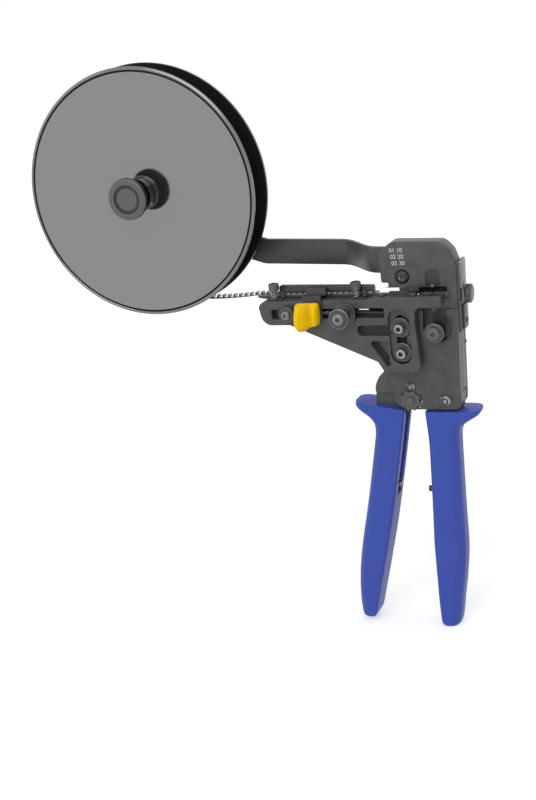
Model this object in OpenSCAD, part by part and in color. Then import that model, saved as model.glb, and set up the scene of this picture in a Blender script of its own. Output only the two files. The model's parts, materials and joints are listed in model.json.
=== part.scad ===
// Hand crimp tool with a strip feeder and a terminal reel.
// X runs right, Y runs away from the front face, Z runs up; millimetres.
// The working datum is the strip level at the right of the feed track.
// The whole model is then shifted so that the middle of the fixed grip is the origin.

/* [Frame] */
// Thickness over both side plates
body_t = 16; // [15:0.5:20]
// Thickness of one side plate
plate_t = 3.5; // [3:0.25:4.5]
// Level of the top of the head
head_top = 30.8; // [29:0.1:34]
// Level of the bottom edge of the side plates
body_bottom = -75.5; // [-77:0.5:-75]
// Lean of the body's right edge from the vertical
side_lean = 2.4; // [1:0.1:3]

/* [Lever and toggle] */
// Diameter of the main pivot
pivot_d = 8; // [6:0.5:9]
// Length of the lever's short arm, from main pivot to knee
lever_arm = 30; // [28:0.5:31]
// Rise of the ram from open to closed
ram_lift = 3; // [2:0.25:3.5]
// Diameter of the knee and ram pins
pin_d = 6; // [5:0.5:6.5]
// Radius of the ratchet sector over its teeth
sector_r = 20; // [18:0.25:20.5]
// Number of ratchet teeth
sector_teeth = 8; // [5:1:9]

/* [Grips] */
// Thickness of a grip at its top
grip_t = 20; // [18:0.5:24]
// Length of the fixed grip below the body
grip_len = 149; // [135:1:160]
// Diameter of the return spring
return_spring_d = 4.6; // [3.5:0.1:5]

/* [Feeder] */
// Thickness of the feeder bracket
bracket_t = 8.7; // [8:0.1:11]
// Length of the feeder bracket to the left of the dies
bracket_reach = 114; // [109:1:125]
// Height of the long slot in the bracket
slot_h = 6.5; // [5:0.25:7]
// Pitch of the terminals on the strip
strip_pitch = 3.9; // [3.5:0.1:5]
// Thickness of the terminal strip
strip_t = 0.3; // [0.2:0.05:0.5]
// Thickness of the feed track
track_t = 2; // [1.5:0.25:2.5]
// Drop of the feeder on its two slide screws
feeder_drop = 4; // [2:0.5:4]
// Stroke of the feed carriage
feed_stroke = 5; // [4:0.5:6]

/* [Reel] */
// Diameter of the reel
reel_d = 159; // [140:1:170]
// Width over both flanges
reel_w = 22; // [20:0.5:24]
// Thickness of a flange
flange_t = 1.6; // [1.2:0.1:2]
// Diameter of the strip wound on the reel
coil_d = 132; // [100:2:136]
// Diameter of the spindle
spindle_d = 10; // [8:0.5:12]
// Diameter of the reel knob
knob_d = 26.6; // [22:0.2:30]
// Thickness of the reel arm
arm_t = 3; // [2:0.25:3.25]
// Height of the reel arm
arm_h = 16; // [14:0.5:18]

/* [Fasteners] */
// Diameter of a slide screw's head
slide_head_d = 6; // [6:0.25:8]
// Diameter of a slide washer
washer_d = 12.4; // [11:0.2:13]
// Diameter of a hold-down screw's head
hold_head_d = 6.8; // [5.5:0.1:7.2]
// Diameter of the thumb screw's knob
thumb_d = 11.6; // [10:0.2:13]

/* [Hidden] */
$fn = 48;

// Fits: play between moving pieces, running fit of a pin, and a fixed shank in its hole
play = 0.3;
run = 0.05;
fix = 0.02;

// Layers across the thickness
face_y = -body_t / 2;
core_y = body_t / 2 - plate_t;
cheek_y = core_y - play;
cheek_t = 1.4;
web_y = cheek_y - cheek_t - play;

// Main axes of the mechanism, as [x, z]
pivot = [-22.2, -69.3];
ram_axis = [-1.5, -24.3];
die_x = -3;
wheel_d = 13.4;
open_span = norm(ram_axis - pivot);
shut_axis = ram_axis + [0, ram_lift];
shut_span = norm(shut_axis - pivot);
knee_slack = 0.03;
link_len = shut_span + knee_slack - lever_arm;
knee_turn = acos((lever_arm ^ 2 + open_span ^ 2 - link_len ^ 2) / (2 * lever_arm * open_span));
knee_dir = atan2(ram_axis.y - pivot.y, ram_axis.x - pivot.x) - knee_turn;
knee = pivot + lever_arm * [cos(knee_dir), sin(knee_dir)];
knee_play = 0.7;

// Frame outline
head_left = -34;
head_under = 3;
seam_z = -10.7;
seam_gap = 0.35;
window_l = -12;
window_r = 7;
die_l = window_l + play;
die_r = window_r - play;
shoulder_z = -6.2;
shoulder_l = -30.5;
block_bottom = -42;
tongue_end = -64.1;
mid_y = 4.5;

// Fixed grip
hold_x = -4.5;
grip_top = -76.8;
hold_z = grip_top - grip_len / 2;

// Feeder
bracket_y0 = -17;
bracket_y1 = bracket_y0 + bracket_t;
bracket_top = -1.8;
lip_top = -0.7;
slot_z = -10.4;
slot_l = 8.5 - bracket_reach;
slot_r = -31;
slot_floor = 2;
slot_y1 = bracket_y1 - slot_floor;
slide_pts = [[-22.3, -20.2], [-22.3, -36]];
bore_w = washer_d + 1.2;
bore_floor = -14;
bore_top = -8;
bore_bottom = slide_pts[1].y - bore_w / 2 - 0.3;
shoulder_d = 5.8;
slide_pitch_clear = shoulder_d / 2 + play;
slide_end_z = slide_pts[1].y - 8.2;
track_y0 = -10.4;
track_y1 = -2.4;
track_top = bracket_top + track_t;
track_l = -bracket_reach - 3.3;
track_r = -12.6;
track_step_x = -37.5;
track_rear = -7.5;
strip_z = track_top + 0.1;
carrier_y = -9.6;

// Feed parts along the slot
pad_y1 = bracket_y0 - 1.3;
carriage_l = slot_l + 5.5;
carriage_r = carriage_l + 28;
finger_p = [carriage_l + 25.2, 3.4];
stop_x = carriage_r + 16;
pad_x = carriage_l + 21.2;
pad_l = pad_x - 7.4;
pad_r = pad_x + 6.6;

// Reel
reel_c = [-186.8, 69.9];
reel_y0 = -15.25;
reel_y1 = reel_y0 + reel_w;
hub_r = 21;
knob_len = 17.3;
arm_y = 15;
arm_lean = 2.3;
arm_joint_x = -34;
joggle_l = -66;
joggle_r = -36;
arm_right_y = -5;
arm_mid_z = 19.6;

// Side stop, in a frame that leans with the body's right edge
side_x0 = 12.9;
guide_t = 1.5;
thumb_z = -3.3;
shank_d = 4;

// Colours
plate_grey = [0.30, 0.30, 0.31];
bracket_grey = [0.34, 0.34, 0.35];
dark_grey = [0.16, 0.16, 0.17];
steel = [0.62, 0.62, 0.64];
blue = [0.22, 0.28, 0.62];
yellow = [0.98, 0.80, 0.05];

// Geometry helpers

function unit(v) = v / norm(v);

// Arc of radius r that rounds corner b of the path a, b, c
function corner(a, b, c, r, n = 6) =
    let (u = unit(a - b), w = unit(c - b))
    r == 0 || norm(u + w) < 0.05 ? [b] :
    let (half = acos(u * w) / 2,
         m = b + unit(u + w) * r / sin(half),
         s = b + u * r / tan(half) - m,
         e = b + w * r / tan(half) - m,
         a0 = atan2(s.y, s.x),
         sweep = ((atan2(e.y, e.x) - a0 + 540) % 360) - 180)
    [for (i = [0:n]) m + r * [cos(a0 + sweep * i / n), sin(a0 + sweep * i / n)]];

// Outline through points [x, z, corner radius]
function rounded(p) = [for (i = [0:len(p) - 1])
    let (a = p[(i + len(p) - 1) % len(p)], b = p[i], c = p[(i + 1) % len(p)])
    each corner([a.x, a.y], [b.x, b.y], [c.x, c.y], b[2])];

// Slab between y0 and y1 with its outline in the XZ plane
module slab(y0, y1) {
    translate([0, y1, 0])
        rotate([90, 0, 0])
            linear_extrude(y1 - y0)
                children();
}

module plate(y0, y1, outline) {
    slab(y0, y1)
        polygon(rounded(outline));
}

module rod_y(p, y0, y1, r) {
    translate([p.x, y1, p.y])
        rotate([90, 0, 0])
            cylinder(h = y1 - y0, r = r);
}

// Round bar along Y whose near or far rim is chamfered by c
module knob_y(p, y0, y1, r, c) {
    rod_y(p, y0 + c, y1, r);
    translate([p.x, y0 + c, p.y])
        rotate([90, 0, 0])
            cylinder(h = c, r1 = r, r2 = r - c);
}

module hex_hole(p, y0, depth, af) {
    translate([p.x, y0 + depth, p.y])
        rotate([90, 0, 0])
            cylinder(h = depth + 1, d = af / cos(30), $fn = 6);
}

function arc(p, r, a0, a1, n) = [for (i = [0:n])
    let (a = a0 + (a1 - a0) * i / n)
    [p.x + r * cos(a), p.y + r * sin(a)]];

// Flat bar outline between two round ends of different radius
module strap(p, q, rp, rq) {
    t = atan2(q.y - p.y, q.x - p.x);
    a = acos((rp - rq) / norm(q - p));
    polygon(concat(arc(p, rp, t + a, t + 360 - a, 14), arc(q, rq, t - a, t + a, 14)));
}

// Helical wire of height h about Z
module coil(h, r, wire_r, turns, sides = 6, steps = 12) {
    n = ceil(turns * steps);
    points = [for (i = [0:n]) let (a = 360 * i / steps, z = wire_r + (h - 2 * wire_r) * i / n)
        for (j = [0:sides - 1]) let (b = 360 * j / sides)
            [(r + wire_r * cos(b)) * cos(a), (r + wire_r * cos(b)) * sin(a), z + wire_r * sin(b)]];
    faces = [[for (j = [sides - 1:-1:0]) j],
             [for (j = [0:sides - 1]) n * sides + j],
             for (i = [0:n - 1], j = [0:sides - 1])
                 let (k = (j + 1) % sides, a = i * sides, b = a + sides)
                     each [[a + j, a + k, b + k], [a + j, b + k, b + j]]];
    polyhedron(points, faces);
}

// Ring of a grip at height z: flat inner side at xa, rounder outer side at xb
function grip_ring(z, xa, xb, h) =
    let (ra = min(2.5, h - 1), rb = min(7, h - 1, (xb - xa) * 0.6), n = 4,
         spots = [[xa + ra, -h + ra, ra, 180], [xb - rb, -h + rb, rb, 270],
                  [xb - rb, h - rb, rb, 0], [xa + ra, h - ra, ra, 90]])
    [for (s = spots, i = [0:n]) let (a = s[3] + 90 * i / n)
        [s.x + s[2] * cos(a), s.y + s[2] * sin(a), z]];

// Solid through rings of equal count, listed from low to high
module loft(rings) {
    n = len(rings[0]);
    m = len(rings) - 1;
    faces = [[for (j = [0:n - 1]) j],
             [for (j = [n - 1:-1:0]) m * n + j],
             for (i = [0:m - 1], j = [0:n - 1])
                 let (k = (j + 1) % n, a = i * n, b = a + n)
                     each [[a + j, b + k, a + k], [a + j, b + j, b + k]]];
    polyhedron([for (r = rings) each r], faces);
}

// Button-head screw along Y with its head at y0, seated at y1, and a shank to y2
module button_screw(p, y0, y1, y2, head_r, shank_r, af) {
    difference() {
        union() {
            knob_y(p, y0, y1, head_r, (y1 - y0) * 0.45);
            rod_y(p, y1, y2, shank_r);
        }
        hex_hole(p, y0, (y1 - y0) * 0.6, af);
    }
}

module side_frame() {
    translate([side_x0, 0, 0])
        rotate([0, side_lean, 0])
            children();
}

function right_x(z) = side_x0 + z * tan(side_lean);

// Frame

head_outline = [[head_left, 6.1, 1.5], [head_left, 25.5, 1.5], [-26, head_top + 0.3, 6],
                [5.5, head_top - 0.6, 7], [10.8, head_top - 6.5, 7], [right_x(16), 16, 6],
                [right_x(seam_z), seam_z, 0], [window_r, seam_z, 0], [window_r, head_under, 1.5],
                [window_l, head_under, 1.5], [-29.7, head_under, 0.5], [-29.7, 6.1, 0.5]];

module head_block() {
    color(plate_grey)
        difference() {
            union() {
                plate(face_y, -face_y, head_outline);
                plate(-mid_y, mid_y, [[window_r, seam_z + 1, 0], [right_x(seam_z), seam_z + 1, 0],
                                      [right_x(tongue_end), tongue_end, 0.5],
                                      [window_r + 1.2, tongue_end, 0.5],
                                      [window_r + 1.2, block_bottom, 0], [window_r, block_bottom, 0]]);
            }
            plate(arm_right_y - fix, arm_right_y + arm_t + fix, arm_outline(arm_h / 2 + fix, fix));
            plate(-die_y, die_y, [[die_l, head_under - 1, 0], [die_l, die_seat, 0.5],
                                  [die_r, die_seat, 0.5], [die_r, head_under - 1, 0]]);
            plate(face_y - 1, face_y + keeper_t, keeper_outline);
            plate(face_y - 1, face_y + 1.2, [[-6.3, head_under - 1, 0], [-6.3, 13.7, 4.4],
                                             [3, 13.7, 4.4], [3, head_under - 1, 0]]);
            translate([window_r - 2, face_y - 1, head_under])
                cube([20, 1.3, 0.3]);
            rod_y(keeper_p, face_y, 2, 1.5 + fix);
            plate(head_rear, -face_y + 1, [[head_left - 1, head_step_z, 0], [head_left - 1, head_top + 5, 0],
                                           [side_x0 + 5, head_top + 5, 0], [side_x0 + 5, head_step_z, 0]]);
            for (p = arm_pts)
                rod_y(p, arm_right_y, -face_y + 1, 1.5 + fix);
            for (p = tongue_rivets)
                rod_y(p, -mid_y - 1, mid_y + 1, 1.5 + fix);
            side_frame()
                translate([-9, 0, thumb_z])
                    rotate([0, 90, 0])
                        cylinder(h = 12, d = shank_d + 2 * fix);
        }
}

die_y = 5;
head_rear = 3.5;
head_step_z = 12;
die_seat = 8;
keeper_t = 2;
keeper_p = [-20.5, 9.5];
keeper_l = -29.7;
keeper_r = -10.8;
keeper_top = 15.3;
keeper_outline = [[keeper_l, head_under - 1, 0], [keeper_l, keeper_top, 4], [keeper_r, keeper_top, 4],
                  [keeper_r, head_under - 1, 0]];
arm_end_x = -17;
arm_pts = [[-30, 20.3], [-21, 20]];
tongue_rivets = [[9.3, -18], [9.3, -36]];

body_outline = [[shoulder_l, shoulder_z, 1], [window_l - play, shoulder_z, 1],
                [window_l - play, seam_z - seam_gap, 0],
                [right_x(seam_z - seam_gap), seam_z - seam_gap, 0.5],
                [right_x(body_bottom), body_bottom, 5], [-27, body_bottom, 5],
                [-32.3, -71.5, 4], [-33.4, -64.4, 1], [-45, -64.4, 1.2], [-44.6, -59.3, 9],
                [-41.7, -54, 9], [-37.6, -50, 9], [-33.5, -46, 7], [shoulder_l, -38, 6]];

blind_y = face_y + 1.5;

// Through holes for the pivot and the tang screw, and holes from y_rivet for rivets and pins
module side_plate_holes(y0, y1, y_rivet) {
    rod_y(pivot, y0, y1, pivot_d / 2 + fix);
    for (p = tang_pts)
        rod_y(p, y0, y1, 1.5 + fix);
    for (p = concat(tongue_rivets, block_rivets, pin_pts))
        rod_y(p, y_rivet, y1, 1.5 + fix);
}

tang_pts = [[-0.1, -69.6]];
block_rivets = [[-27.6, -12], [-27.6, -39]];
pin_pts = [[-37.5, -60.2], [3.6, -59.6]];
anchor_p = pin_pts[0];
pawl_p = pin_pts[1];

module front_plate() {
    color(plate_grey)
        difference() {
            plate(face_y, -core_y, body_outline);
            side_plate_holes(face_y - 1, -core_y + 1, blind_y);
            plate(face_y - 1, -core_y + 1, [[-9.9, seam_z + 1, 0], [-9.9, -22, 0], [5.3, -22, 0],
                                            [5.3, seam_z + 1, 0]]);
            rod_y(ram_axis + [0, ram_lift / 2], face_y - 1, -core_y + 1, 9);
            rod_y(lock_p, face_y - 1, -core_y + 1, 1.25 + fix);
            for (p = slide_pts)
                rod_y(p, face_y - 1, -core_y + 1, 2 + fix);
        }
}

module rear_plate() {
    color(plate_grey)
        difference() {
            plate(core_y, -face_y, body_outline);
            side_plate_holes(core_y - 1, -face_y + 1, core_y - 1);
        }
}

module guide_block() {
    color(dark_grey)
        difference() {
            plate(-mid_y, mid_y, [[shoulder_l, shoulder_z, 0], [window_l, shoulder_z, 0],
                                  [window_l, -31, 1], [-17.6, -31, 1], [-17.6, block_bottom, 1],
                                  [shoulder_l, block_bottom, 1]]);
            for (p = block_rivets)
                rod_y(p, -mid_y - 1, mid_y + 1, 1.5 + fix);
            for (p = slide_pts)
                rod_y(p, -mid_y - 1, mid_y + 1, 2 + fix);
        }
}

shut_z = 2;
nest_r = 0.9;

module upper_die() {
    color(dark_grey)
        difference() {
            plate(-die_y, die_y, [[die_l, shut_z, 0.4], [die_l, die_seat, 0.5], [die_r, die_seat, 0.5],
                                  [die_r, shut_z, 0.4]]);
            for (side = [-1, 1])
                rod_y([die_x + side * nest_r * 0.8, shut_z], -die_y - 1, die_y + 1, nest_r);
        }
}

module die_keeper() {
    color(plate_grey)
        difference() {
            plate(face_y, face_y + keeper_t, [[keeper_l, head_under, 0.4], [keeper_l, keeper_top, 4],
                                              [keeper_r, keeper_top, 4], [keeper_r, 0.8, 0.4],
                                              [-20.5, 0.8, 0.4], [-20.5, head_under, 0]]);
            rod_y(keeper_p, face_y - 1, face_y + keeper_t - 0.8, 4.7);
            rod_y(keeper_p, face_y - 1, face_y + keeper_t + 1, 1.5 + fix);
        }
}

module keeper_screw() {
    color(steel)
        button_screw(keeper_p, face_y - 1, face_y + keeper_t - 0.8, 2, 4.2, 1.5, 2.5);
}

wheel_lobes = 8;

module main_pivot() {
    color(steel) {
        rod_y(pivot, face_y - 1.8, -face_y, pivot_d / 2 - 1.5);
        rod_y(pivot, face_y, -face_y, pivot_d / 2);
        knob_y(pivot, face_y - 2.8, face_y - 1.8, pivot_d / 2 - 1.5, 0.3);
    }
}

module adjust_wheel() {
    color(dark_grey)
        difference() {
            slab(face_y - 1.7, face_y)
                translate(pivot)
                    difference() {
                        circle(d = wheel_d);
                        for (i = [0:wheel_lobes - 1])
                            rotate(360 * i / wheel_lobes)
                                translate([wheel_d / 2 + 1, 0])
                                    circle(r = 2.2);
                        translate(lock_p - pivot)
                            circle(r = 2.9 + fix);
                        circle(r = pivot_d / 2 - 1.5 + fix);
                    }
        }
}

lock_p = [-21.7, -60.4];

module lock_screw() {
    color(steel)
        button_screw(lock_p, face_y - 2, face_y, -core_y, 2.9, 1.25, 2);
}

tang_outline = [[-6.6, -66.4, 1.5], [4, -64.6, 1], [right_x(-64.6) - 0.2, -64.6, 1],
                [right_x(-72) - 0.2, -72, 1], [7.3, -78, 0],
                [3.6, -92, 6], [2, -150, 0], [-4.5, -200, 3], [-10.5, -200, 3], [-9.5, -150, 0],
                [-8.5, -92, 6], [-7.6, -78, 0]];

module handle_tang() {
    color(steel)
        difference() {
            plate(-mid_y, mid_y, tang_outline);
            for (p = tang_pts)
                rod_y(p, -mid_y - 1, mid_y + 1, 1.5 + fix);
        }
}

fixed_stations = [[-225.8, -13, -7.2, 7.8], [-224.2, -14.7, -5.5, 9], [-219, -15.7, -3.5, 9.6],
                  [-206, -16, -1, 9.8], [-193, -15.9, 1.3, 9.9], [-168, -15.7, 4, 10],
                  [-149, -14.8, 4.2, 10], [-114, -13.4, 5, 10], [-97, -12.9, 5.5, 10],
                  [-92, -13, 6.1, 10], [-88, -13.2, 7.9, 10], [-84.5, -13.4, 12, 10],
                  [-81.5, -13.6, 16.9, 10], [-79, -13.7, 19.8, 10], [grip_top, -13.8, 20.3, 9.6]];

// Half thickness of a grip, scaled from its drawn value of 10
function half_t(h) = h * grip_t / 20;
// Level in a grip, stretched below its top to the stated length
function grip_z(z) = grip_top + (z - grip_top) * grip_len / 149.2;

module fixed_grip() {
    color(blue)
        difference() {
            loft([for (s = fixed_stations) grip_ring(grip_z(s[0]), s[1], s[2], half_t(s[3]))]);
            plate(-mid_y, mid_y, tang_outline);
            translate([-20, 0, stop_z])
                rotate([0, 90, 0])
                    cylinder(h = 20 + stop_end + fix, r = 2 + fix);
        }
}

stop_z = -131.8;
stop_tip = -18.2;
stop_end = -9.7;

module stop_stud() {
    color(steel) {
        translate([stop_tip, 0, stop_z])
            rotate([0, 90, 0])
                cylinder(h = stop_end - stop_tip, r = 2);
    }
}

module tang_screws() {
    color(steel)
        for (p = tang_pts)
            button_screw(p, face_y - 2.2, face_y, -face_y, 3.5, 1.5, 2.5);
}

module frame_rivets() {
    color(plate_grey)
        for (p = concat(tongue_rivets, block_rivets)) {
            rod_y(p, blind_y, -face_y, 1.5);
            knob_far(p, -face_y, 1, 2.6);
        }
}

// Low round head on the rear face
module knob_far(p, y0, h, r) {
    translate([p.x, y0, p.y])
        rotate([-90, 0, 0])
            cylinder(h = h, r1 = r, r2 = r - h * 0.6);
}

module frame_pins() {
    color(steel)
        for (p = pin_pts)
            rod_y(p, blind_y, -face_y, 1.5);
}

// Reel arm

function arm_path(x) = x >= joggle_r ? arm_right_y : x <= joggle_l ? arm_y :
    arm_right_y + (arm_y - arm_right_y) * (1 + cos(180 * (x - joggle_l) / (joggle_r - joggle_l))) / 2;

bend_x = -118;
joggle_steps = 12;

// Level of the middle of the arm's straight part
function arm_z(x) = arm_mid_z - (x - arm_joint_x) * tan(arm_lean);

function normal(a, b) = let (u = unit(b - a)) [-u.y, u.x];

// Corner of a line parallel to the path a, b, c at distance d
function beside(a, b, c, d) = let (n = normal(a, b), m = normal(b, c)) b + d * (n + m) / (1 + n * m);

// One side of the arm at distance d from its middle line, past its right end by e
function arm_side(d, e) =
    let (knee = [-138, 29.5], bend = [bend_x, arm_z(bend_x)],
         start = reel_c + unit(reel_c - knee) * arm_h / 2, tip = [arm_end_x + e, arm_z(arm_end_x + e)])
    [start + d * normal(start, knee), beside(start, knee, bend, d), beside(knee, bend, tip, d),
     tip + d * normal(bend, tip)];

function arm_outline(d, e) =
    let (upper = arm_side(d, e), lower = arm_side(-d, e), r = [arm_h / 2 - 0.1, 8, 8, 0.5])
    concat([for (i = [0:3]) [upper[i].x, upper[i].y, r[i]]],
           [for (i = [3:-1:0]) [lower[i].x, lower[i].y, r[i]]]);

// Flat bar bent in an S to reach from behind the reel to the head
module arm_band() {
    xs = concat([reel_c.x - arm_h], [for (i = [0:joggle_steps])
                joggle_l + (joggle_r - joggle_l) * i / joggle_steps], [arm_end_x + 1]);
    translate([0, 0, -arm_h])
        linear_extrude(reel_c.y + 3 * arm_h)
            polygon(concat([for (x = xs) [x, arm_path(x)]],
                           [for (i = [len(xs) - 1:-1:0]) [xs[i], arm_path(xs[i]) + arm_t]]));
}

module reel_arm() {
    color(dark_grey)
        difference() {
            intersection() {
                arm_band();
                plate(arm_right_y - 1, arm_y + arm_t + 1, arm_outline(arm_h / 2, 0));
            }
            rod_y(reel_c, arm_y - 1, arm_y + arm_t + 1, spindle_d / 2 - 2 + fix);
            for (p = arm_pts)
                rod_y(p, arm_right_y - 1, arm_right_y + arm_t + 1, 1.5 + fix);
        }
}

module arm_screws() {
    color(steel)
        for (p = arm_pts) {
            rod_y(p, arm_right_y, head_rear, 1.5);
            knob_far(p, head_rear, 1.6, 2.9);
        }
}

module spindle() {
    color(steel) {
        rod_y(reel_c, reel_y0 - knob_len + 4.5, reel_y1 + play, spindle_d / 2);
        rod_y(reel_c, reel_y1 + play, arm_y, spindle_d / 2 + 4);
        rod_y(reel_c, arm_y, arm_y + arm_t + 1, spindle_d / 2 - 2);
        knob_far(reel_c, arm_y + arm_t, 3, spindle_d / 2 + 1);
    }
}

// Slide screws that hold the feeder on the body

module slide_screws() {
    color(steel)
        for (p = slide_pts)
            difference() {
                union() {
                    knob_y(p, bore_floor - play - 1.5 - 4, bore_floor - play - 1.5, slide_head_d / 2, 0.4);
                    rod_y(p, bore_floor - play - 1.5, face_y, shoulder_d / 2);
                    rod_y(p, face_y, 3, 2);
                }
                hex_hole(p, bore_floor - play - 5.5, 2, 3);
            }
}

module slide_washers() {
    color(dark_grey)
        for (p = slide_pts)
            difference() {
                knob_y(p, bore_floor - play - 1.5, bore_floor - play, washer_d / 2, 0.3);
                rod_y(p, bore_floor - 4, bore_floor + 1, shoulder_d / 2 + fix);
            }
}

// Side stop

module side_guide() {
    color(dark_grey)
        side_frame()
            difference() {
                translate([0, -7, -26])
                    cube([guide_t, 14, 43.5]);
                translate([-1, 0, thumb_z])
                    rotate([0, 90, 0])
                        cylinder(h = guide_t + 2, d = shank_d + 2 * fix);
                translate([-1, 1.5, foot_z])
                    rotate([0, 90, 0])
                        cylinder(h = guide_t + 2, r = 1 + fix);
            }
}

foot_z = -20.3;

module guide_foot() {
    color(steel)
        side_frame()
            difference() {
                translate([guide_t, -3, -25.2])
                    cube([1.3, 9, 15.2]);
                translate([guide_t - 1, 1.5, foot_z])
                    rotate([0, 90, 0])
                        cylinder(h = 4, r = 1 + fix);
            }
}

module foot_screw() {
    color(steel)
        side_frame()
            translate([0, 1.5, foot_z])
                rotate([0, 90, 0])
                    difference() {
                        union() {
                            cylinder(h = guide_t + 1.3, r = 1);
                            translate([0, 0, guide_t + 1.3])
                                cylinder(h = 1, r1 = 2, r2 = 1.4);
                        }
                        translate([0, 0, guide_t + 1.7])
                            cylinder(h = 2, d = 1.3 / cos(30), $fn = 6);
                    }
}

locator_t = 1.4;
locator_travel = 2;

module locator() {
    color(steel)
        side_frame()
            translate([guide_t + play, 0, 0])
                rotate([0, 90, 0])
                    rotate([0, 0, 180])
                        difference() {
                            linear_extrude(locator_t)
                                polygon(rounded([[-7.5, -4.5, 1], [-7.5, 4.5, 1], [0, 4.5, 0], [2, 7, 0],
                                                 [19.3, 7, 3], [19.3, -2, 3], [2, -2, 0],
                                                 [0, -4.5, 0]]));
                            translate([thumb_z - locator_travel, 0, -1])
                                cylinder(h = locator_t + 2, d = shank_d + 2 * play);
                            translate([thumb_z + locator_travel, 0, -1])
                                cylinder(h = locator_t + 2, d = shank_d + 2 * play);
                            translate([thumb_z - locator_travel, -shank_d / 2 - play, -1])
                                cube([2 * locator_travel, shank_d + 2 * play, locator_t + 2]);
                        }
}

module thumb_screw() {
    head_x = guide_t + 2 * play + locator_t;
    color(dark_grey)
        side_frame()
            translate([0, 0, thumb_z])
                rotate([0, 90, 0]) {
                    translate([0, 0, -4])
                        cylinder(h = 4 + head_x, d = shank_d - 2 * run);
                    translate([0, 0, head_x])
                        cylinder(h = 0.5, d = 6);
                    translate([0, 0, head_x + 0.5])
                        linear_extrude(2.8)
                            difference() {
                                circle(d = thumb_d);
                                for (i = [0:17])
                                    rotate(20 * i)
                                        translate([thumb_d / 2 + 0.15, 0])
                                            circle(r = 0.5, $fn = 16);
                            }
                    translate([0, 0, head_x + 3.3])
                        cylinder(h = 0.6, r1 = thumb_d / 2 - 0.4, r2 = thumb_d / 2 - 1.1);
                }
}

// Ram and toggle

ram_top = -5;
ram_bottom = -31.2;

module ram() {
    color(dark_grey)
        difference() {
            union() {
                plate(face_y + 0.5, -face_y - 0.5,
                      [[die_l, seam_z + 0.3, 0], [die_l, ram_top, 0.5], [die_r, ram_top, 0.5],
                       [die_r, seam_z + 0.3, 0]]);
                plate(-cheek_y, cheek_y,
                      [[die_l, ram_bottom + ram_low_l, 1], [die_l, seam_z + 1, 0],
                       [die_r, seam_z + 1, 0], [die_r, ram_bottom, 1],
                       [ram_axis.x - 6, ram_bottom, 1]]);
            }
            plate(-web_y - play, web_y + play,
                  [[window_l - 1, ram_bottom - 1, 0], [window_l - 1, ram_slot_top, 0],
                   [window_r + 1, ram_slot_top, 0], [window_r + 1, ram_bottom - 1, 0]]);
            rod_y(ram_axis, -cheek_y - 1, cheek_y + 1, pin_d / 2 + fix);
        }
}

ram_low_l = 4;
ram_slot_top = -17.4;

module lower_die() {
    color(dark_grey)
        difference() {
            plate(-die_y, die_y, [[die_l, ram_top, 0], [die_l, shut_z - ram_lift - 0.1, 0.4],
                                  [die_r, shut_z - ram_lift - 0.1, 0.4], [die_r, ram_top, 0]]);
            rod_y([die_x, shut_z - ram_lift - 0.1], -die_y - 1, die_y + 1, nest_r);
        }
}

roller_y = -13.5;

module ram_pin() {
    color(steel)
        rod_y(ram_axis, roller_y - 1, cheek_y, pin_d / 2);
}

module ram_roller() {
    color(dark_grey)
        difference() {
            union() {
                rod_y(ram_axis, roller_y, -cheek_y - 0.1, 4.5);
                knob_y(ram_axis, roller_y - 1.5, roller_y, 6.1, 0.3);
                knob_y(ram_axis, roller_y - 4.5, roller_y - 1.5, 4.2, 0.5);
            }
            rod_y(ram_axis, roller_y - 1 - fix, -cheek_y + 1, pin_d / 2 + fix);
            hex_hole(ram_axis, roller_y - 4.5, 1.8, 2.5);
        }
}

eye_r = 5.5;

module toggle_link() {
    color(steel)
        difference() {
            slab(-web_y, web_y)
                strap(ram_axis, knee, eye_r, eye_r);
            rod_y(ram_axis, -web_y - 1, web_y + 1, pin_d / 2 + run);
            rod_y(knee, -web_y - 1, web_y + 1, pin_d / 2 + knee_play);
        }
}

// Lever

lever_boss_r = 9.3;
knee_boss_r = 6.3;
hook_p = [-40.2, -129.2];

lever_tang = [[-24, -62, 0], [-33, -65, 1], [-46, -65.2, 1.5], [-46.8, -76, 2], [-46.6, -92, 8],
              [-52.5, -122, 0], [-58.5, -150, 0], [-66.5, -190, 3], [-60.2, -193, 3],
              [-50.8, -152, 0], [-47, -136, 1], [-38.6, -134, 1.5], [-37.4, -126, 1.5],
              [-44.5, -123, 1], [-38, -98, 6], [-31.2, -82, 4], [-22, -76, 3]];

module lever_shape() {
    strap(pivot, knee, lever_boss_r - 1.5, knee_boss_r);
    translate(pivot)
        circle(r = lever_boss_r - 1.5);
    polygon(rounded(lever_tang));
}

module lever_holes() {
    translate(pivot)
        circle(r = pivot_d / 2 + run);
    translate(knee)
        circle(r = pin_d / 2 + fix);
    translate(hook_p)
        circle(r = 1.5 + fix);
}

module lever_front() {
    color(steel)
        slab(-cheek_y, -cheek_y + cheek_t)
            difference() {
                lever_shape();
                lever_holes();
            }
}

module lever_rear() {
    color(steel)
        slab(cheek_y - cheek_t, cheek_y)
            difference() {
                lever_shape();
                lever_holes();
            }
}

tooth_deg = 2.4;
tooth_h = 0.9;
sector_a0 = 14.2;

module ratchet_sector() {
    span = sector_teeth * tooth_deg;
    root = sector_r - tooth_h;
    color(steel)
        slab(-cheek_y + cheek_t, cheek_y - cheek_t)
            translate(pivot)
                difference() {
                    union() {
                        circle(r = 7.2);
                        polygon(concat([[0, 0]], [for (i = [0:sector_teeth - 1])
                            let (a = sector_a0 + i * tooth_deg)
                                each [root * [cos(a), sin(a)],
                                      sector_r * [cos(a + tooth_deg * 0.75), sin(a + tooth_deg * 0.75)],
                                      root * [cos(a + tooth_deg), sin(a + tooth_deg)]]]));
                    }
                    circle(r = pivot_d / 2 + run);
                }
}

module knee_pin() {
    color(steel)
        rod_y(knee, -cheek_y, cheek_y, pin_d / 2);
}

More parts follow.
